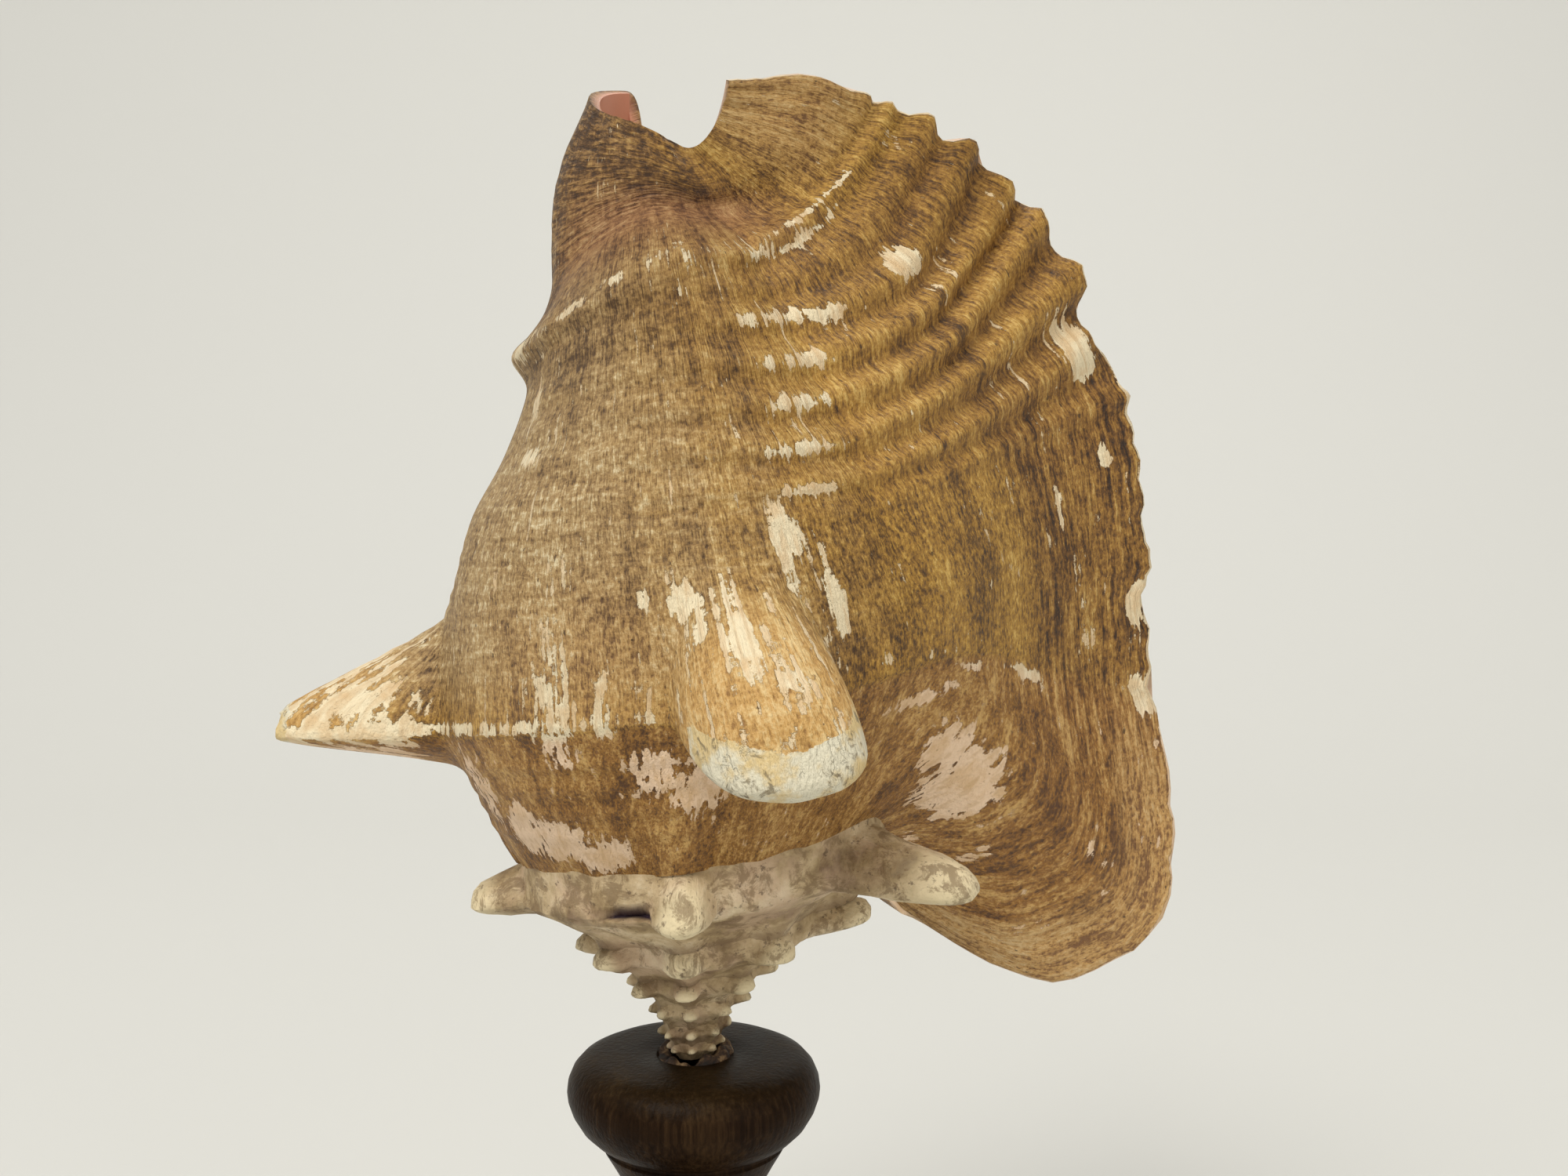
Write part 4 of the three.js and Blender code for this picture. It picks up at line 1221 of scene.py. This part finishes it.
# Radius and height of the turned stand, in millimetres, from the foot's edge up into the socket.
STAND_PROFILE = [
    (0, 0.0), (62, 0.0), (64.3, 0.6), (65.3, 3.0), (65.4, 6.0), (64.9, 9.5), (63.6, 11.6), (60.5, 13.0),
    (58.2, 14.2), (50, 16.6), (41, 19.0), (33, 21.8), (27, 24.8), (22.8, 28.2), (20.6, 31.6), (20.6, 32.2),
    (23.6, 33.6), (25.2, 36.2), (25.5, 38.0), (25.2, 39.8), (23.6, 42.2), (18.2, 43.4), (17.8, 44.6),
    (19.6, 50), (22.6, 55.5), (24.3, 61), (24.9, 66), (24.6, 71), (23.2, 77), (20.6, 84), (17.6, 91),
    (15.6, 97.5), (14.9, 104), (15.2, 109.5), (16.2, 114.5), (17.9, 119), (20.2, 123.2), (22.2, 126.6),
    (22.5, 127.3), (22.1, 127.9), (22.3, 128.6), (23.2, 129.2), (25.4, 130.6), (28.0, 133.2), (30.0, 136.6),
    (31.0, 139.6), (31.2, 141.4), (30.9, 143.8), (29.8, 146.4), (28.0, 148.4), (25.6, 149.5), (23, 149.9),
    (16, STAND_HEIGHT), (9.6, STAND_HEIGHT), (8.9, STAND_HEIGHT - 0.5), (8.5, STAND_HEIGHT - 3),
    (8.2, STAND_HEIGHT - SOCKET_DEPTH), (0, STAND_HEIGHT - SOCKET_DEPTH),
]


class CONCH_OT_stand(bpy.types.Operator):
    """Turn the wooden stand from its profile"""

    bl_idname = "conch.stand"
    bl_label = "Stand"

    def execute(self, context):
        look = context.scene.conch_stand
        deselect_all()
        bpy.ops.mesh.primitive_plane_add(size=0.001)
        piece = context.object
        piece.name = piece.data.name = "turned_stand"
        bpy.ops.object.mode_set(mode="EDIT")
        bpy.ops.mesh.merge(type="CENTER")
        profile = [Vector((r / 1000, 0, z / 1000)) for r, z in STAND_PROFILE]
        bpy.ops.transform.translate(value=profile[0])
        for before, after in zip(profile, profile[1:]):
            bpy.ops.mesh.extrude_region_move(TRANSFORM_OT_translate={"value": after - before})
        bpy.ops.mesh.select_all(action="SELECT")
        bpy.ops.mesh.spin(steps=look.steps, angle=2 * math.pi, center=(0, 0, 0), axis=(0, 0, 1))
        bpy.ops.mesh.select_all(action="SELECT")
        bpy.ops.mesh.remove_doubles(threshold=0.00002)
        bpy.ops.mesh.normals_make_consistent(inside=False)
        bpy.ops.object.mode_set(mode="OBJECT")
        smooth_by_angle(piece, 38)
        height = np.array([v.co.z for v in piece.data.vertices]) * 1000
        write_values(piece, "top", smoothstep(height, STAND_HEIGHT - 7, STAND_HEIGHT))
        piece.data.materials.append(wood_finish(look))
        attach(piece, "root")
        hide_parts("stand")
        return {"FINISHED"}


class CONCH_OT_residue(bpy.types.Operator):
    """Fill the gap between the apex and the socket with old adhesive"""

    bl_idname = "conch.residue"
    bl_label = "Residue in the socket"

    def execute(self, context):
        look = context.scene.conch_stand
        middle = STAND_HEIGHT / 1000 - RESIDUE_SUNK
        deselect_all()
        bpy.ops.mesh.primitive_torus_add(
            major_radius=RESIDUE_RADIUS, minor_radius=RESIDUE_HALF_WIDTH, major_segments=160,
            minor_segments=24, location=(0, 0, middle), generate_uvs=False,
        )
        bpy.ops.object.transform_apply(location=True)
        piece = context.object
        piece.name = piece.data.name = "old_adhesive"
        places = np.array([v.co for v in piece.data.vertices])
        turn = np.arctan2(places[:, 1], places[:, 0])
        lump = noise(5 * np.cos(turn), 5 * np.sin(turn), places[:, 2] * 900, seed=51)
        rise = look.residue * (0.5 + 1.1 * noise(2.4 * np.cos(turn), 2.4 * np.sin(turn), seed=52))
        above = np.clip((places[:, 2] - middle) / RESIDUE_HALF_WIDTH, 0, 1)
        places = places * (1 + 0.06 * lump[:, None] * np.array([[1, 1, 0]]))
        places[:, 2] += above * np.maximum(rise, -0.0006) + 0.0005 * above * lump
        piece.data.vertices.foreach_set("co", places.ravel())
        piece.data.update()
        smooth_by_angle(piece, 70)
        piece.data.materials.append(residue_finish())
        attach(piece, "root")
        return {"FINISHED"}


class CONCH_OT_stage(bpy.types.Operator):
    """Set up the plain pale backdrop, the soft light and the camera"""

    bl_idname = "conch.stage"
    bl_label = "Stage"

    def execute(self, context):
        look = context.scene.conch_stage
        self.backdrop(look)
        self.lights(context, look)
        self.camera(context, look)
        return {"FINISHED"}

    def backdrop(self, look):
        """A floor that curves up into a wall at its far edge."""
        deselect_all()
        bpy.ops.mesh.primitive_plane_add(size=6, location=(0, -2.1, 0))
        floor = bpy.context.object
        floor.name = floor.data.name = "floor"
        bpy.ops.object.transform_apply(location=True)
        bpy.ops.object.mode_set(mode="EDIT")
        bpy.ops.mesh.select_all(action="DESELECT")
        bpy.ops.object.mode_set(mode="OBJECT")
        far = max(v.co.y for v in floor.data.vertices)
        for edge in floor.data.edges:
            ends = [floor.data.vertices[i] for i in edge.vertices]
            if all(v.co.y > far - 0.01 for v in ends):
                edge.select = True
                for v in ends:
                    v.select = True
        bpy.ops.object.mode_set(mode="EDIT")
        bpy.ops.mesh.spin(steps=24, angle=-math.pi / 2, center=(0, far, 1.1), axis=(1, 0, 0))
        bpy.ops.mesh.extrude_region_move(TRANSFORM_OT_translate={"value": (0, 0, 3)})
        bpy.ops.object.mode_set(mode="OBJECT")
        smooth_by_angle(floor, 60)
        floor.data.materials.append(wall_finish(look.wall_colour))

    def lights(self, context, look):
        shell, wall = Vector((0.01, 0, 0.26)), Vector((0, 2.2, 0.9))
        for name, power, size, place, colour, goal in (
            ("key_light", look.key_power, 1.6, (-1.0, -1.9, 2.9), (1.0, 0.98, 0.94), shell),
            ("fill_light", look.fill_power, 2.0, (2.2, -1.9, 1.3), (1.0, 0.95, 0.86), shell),
            ("wall_light", look.wall_power, 2.4, (0.0, 0.5, 2.6), (1.0, 1.0, 1.0), wall),
            ("back_light", look.fill_power, 1.6, (0.4, 1.5, 2.2), (1.0, 0.98, 0.95), shell),
        ):
            bpy.ops.object.light_add(type="AREA", location=place)
            light = context.object
            light.name = name
            light.data.energy = power
            light.data.size = size
            light.data.color = colour
            light.rotation_mode = "QUATERNION"
            light.rotation_quaternion = (goal - Vector(place)).to_track_quat("-Z", "Y")
            light.visible_camera = False
        world = bpy.data.worlds.new("studio")
        context.scene.world = world
        world.use_nodes = True
        world.node_tree.nodes["Background"].inputs["Color"].default_value = (1.0, 0.98, 0.94, 1)
        world.node_tree.nodes["Background"].inputs["Strength"].default_value = 0.42
        context.scene.view_settings.view_transform = "Standard"

    def camera(self, context, look):
        rise = STAND_HEIGHT / 1000 + look.distance * math.tan(CAMERA_RISE)
        bpy.ops.object.camera_add(location=(CAMERA_SIDE, -look.distance, rise))
        camera = context.object
        camera.name = "photo_camera"
        camera.rotation_euler = (math.pi / 2 - look.pitch, 0, 0)
        camera.data.lens = look.lens
        camera.data.sensor_width = 36
        camera.data.clip_start = 0.01
        camera.data.clip_end = 50
        context.scene.camera = camera


class CONCH_PT_panel(bpy.types.Panel):
    bl_idname = "CONCH_PT_panel"
    bl_label = "Conch"
    bl_space_type = "VIEW_3D"
    bl_region_type = "UI"
    bl_category = "Conch"

    def draw(self, context):
        for name, operators in (
            ("conch_shell", ["conch.shell"]),
            ("conch_stand", ["conch.stand", "conch.residue"]),
            ("conch_stage", ["conch.stage"]),
        ):
            box = self.layout.box()
            settings = getattr(context.scene, name)
            for key in settings.__annotations__:
                box.prop(settings, key)
            for operator in operators:
                box.operator(operator)


CLASSES = (
    ConchShellSettings,
    ConchStandSettings,
    ConchStageSettings,
    CONCH_OT_shell,
    CONCH_OT_stand,
    CONCH_OT_residue,
    CONCH_OT_stage,
    CONCH_PT_panel,
)


def register():
    for cls in CLASSES:
        bpy.utils.register_class(cls)
    bpy.types.Scene.conch_shell = PointerProperty(type=ConchShellSettings)
    bpy.types.Scene.conch_stand = PointerProperty(type=ConchStandSettings)
    bpy.types.Scene.conch_stage = PointerProperty(type=ConchStageSettings)


def unregister():
    for name in ("conch_stage", "conch_stand", "conch_shell"):
        delattr(bpy.types.Scene, name)
    for cls in reversed(CLASSES):
        bpy.utils.unregister_class(cls)


def main():
    register()
    bpy.ops.conch.shell()
    bpy.ops.conch.stand()
    bpy.ops.conch.residue()
    bpy.ops.conch.stage()


if __name__ == "__main__":
    main()
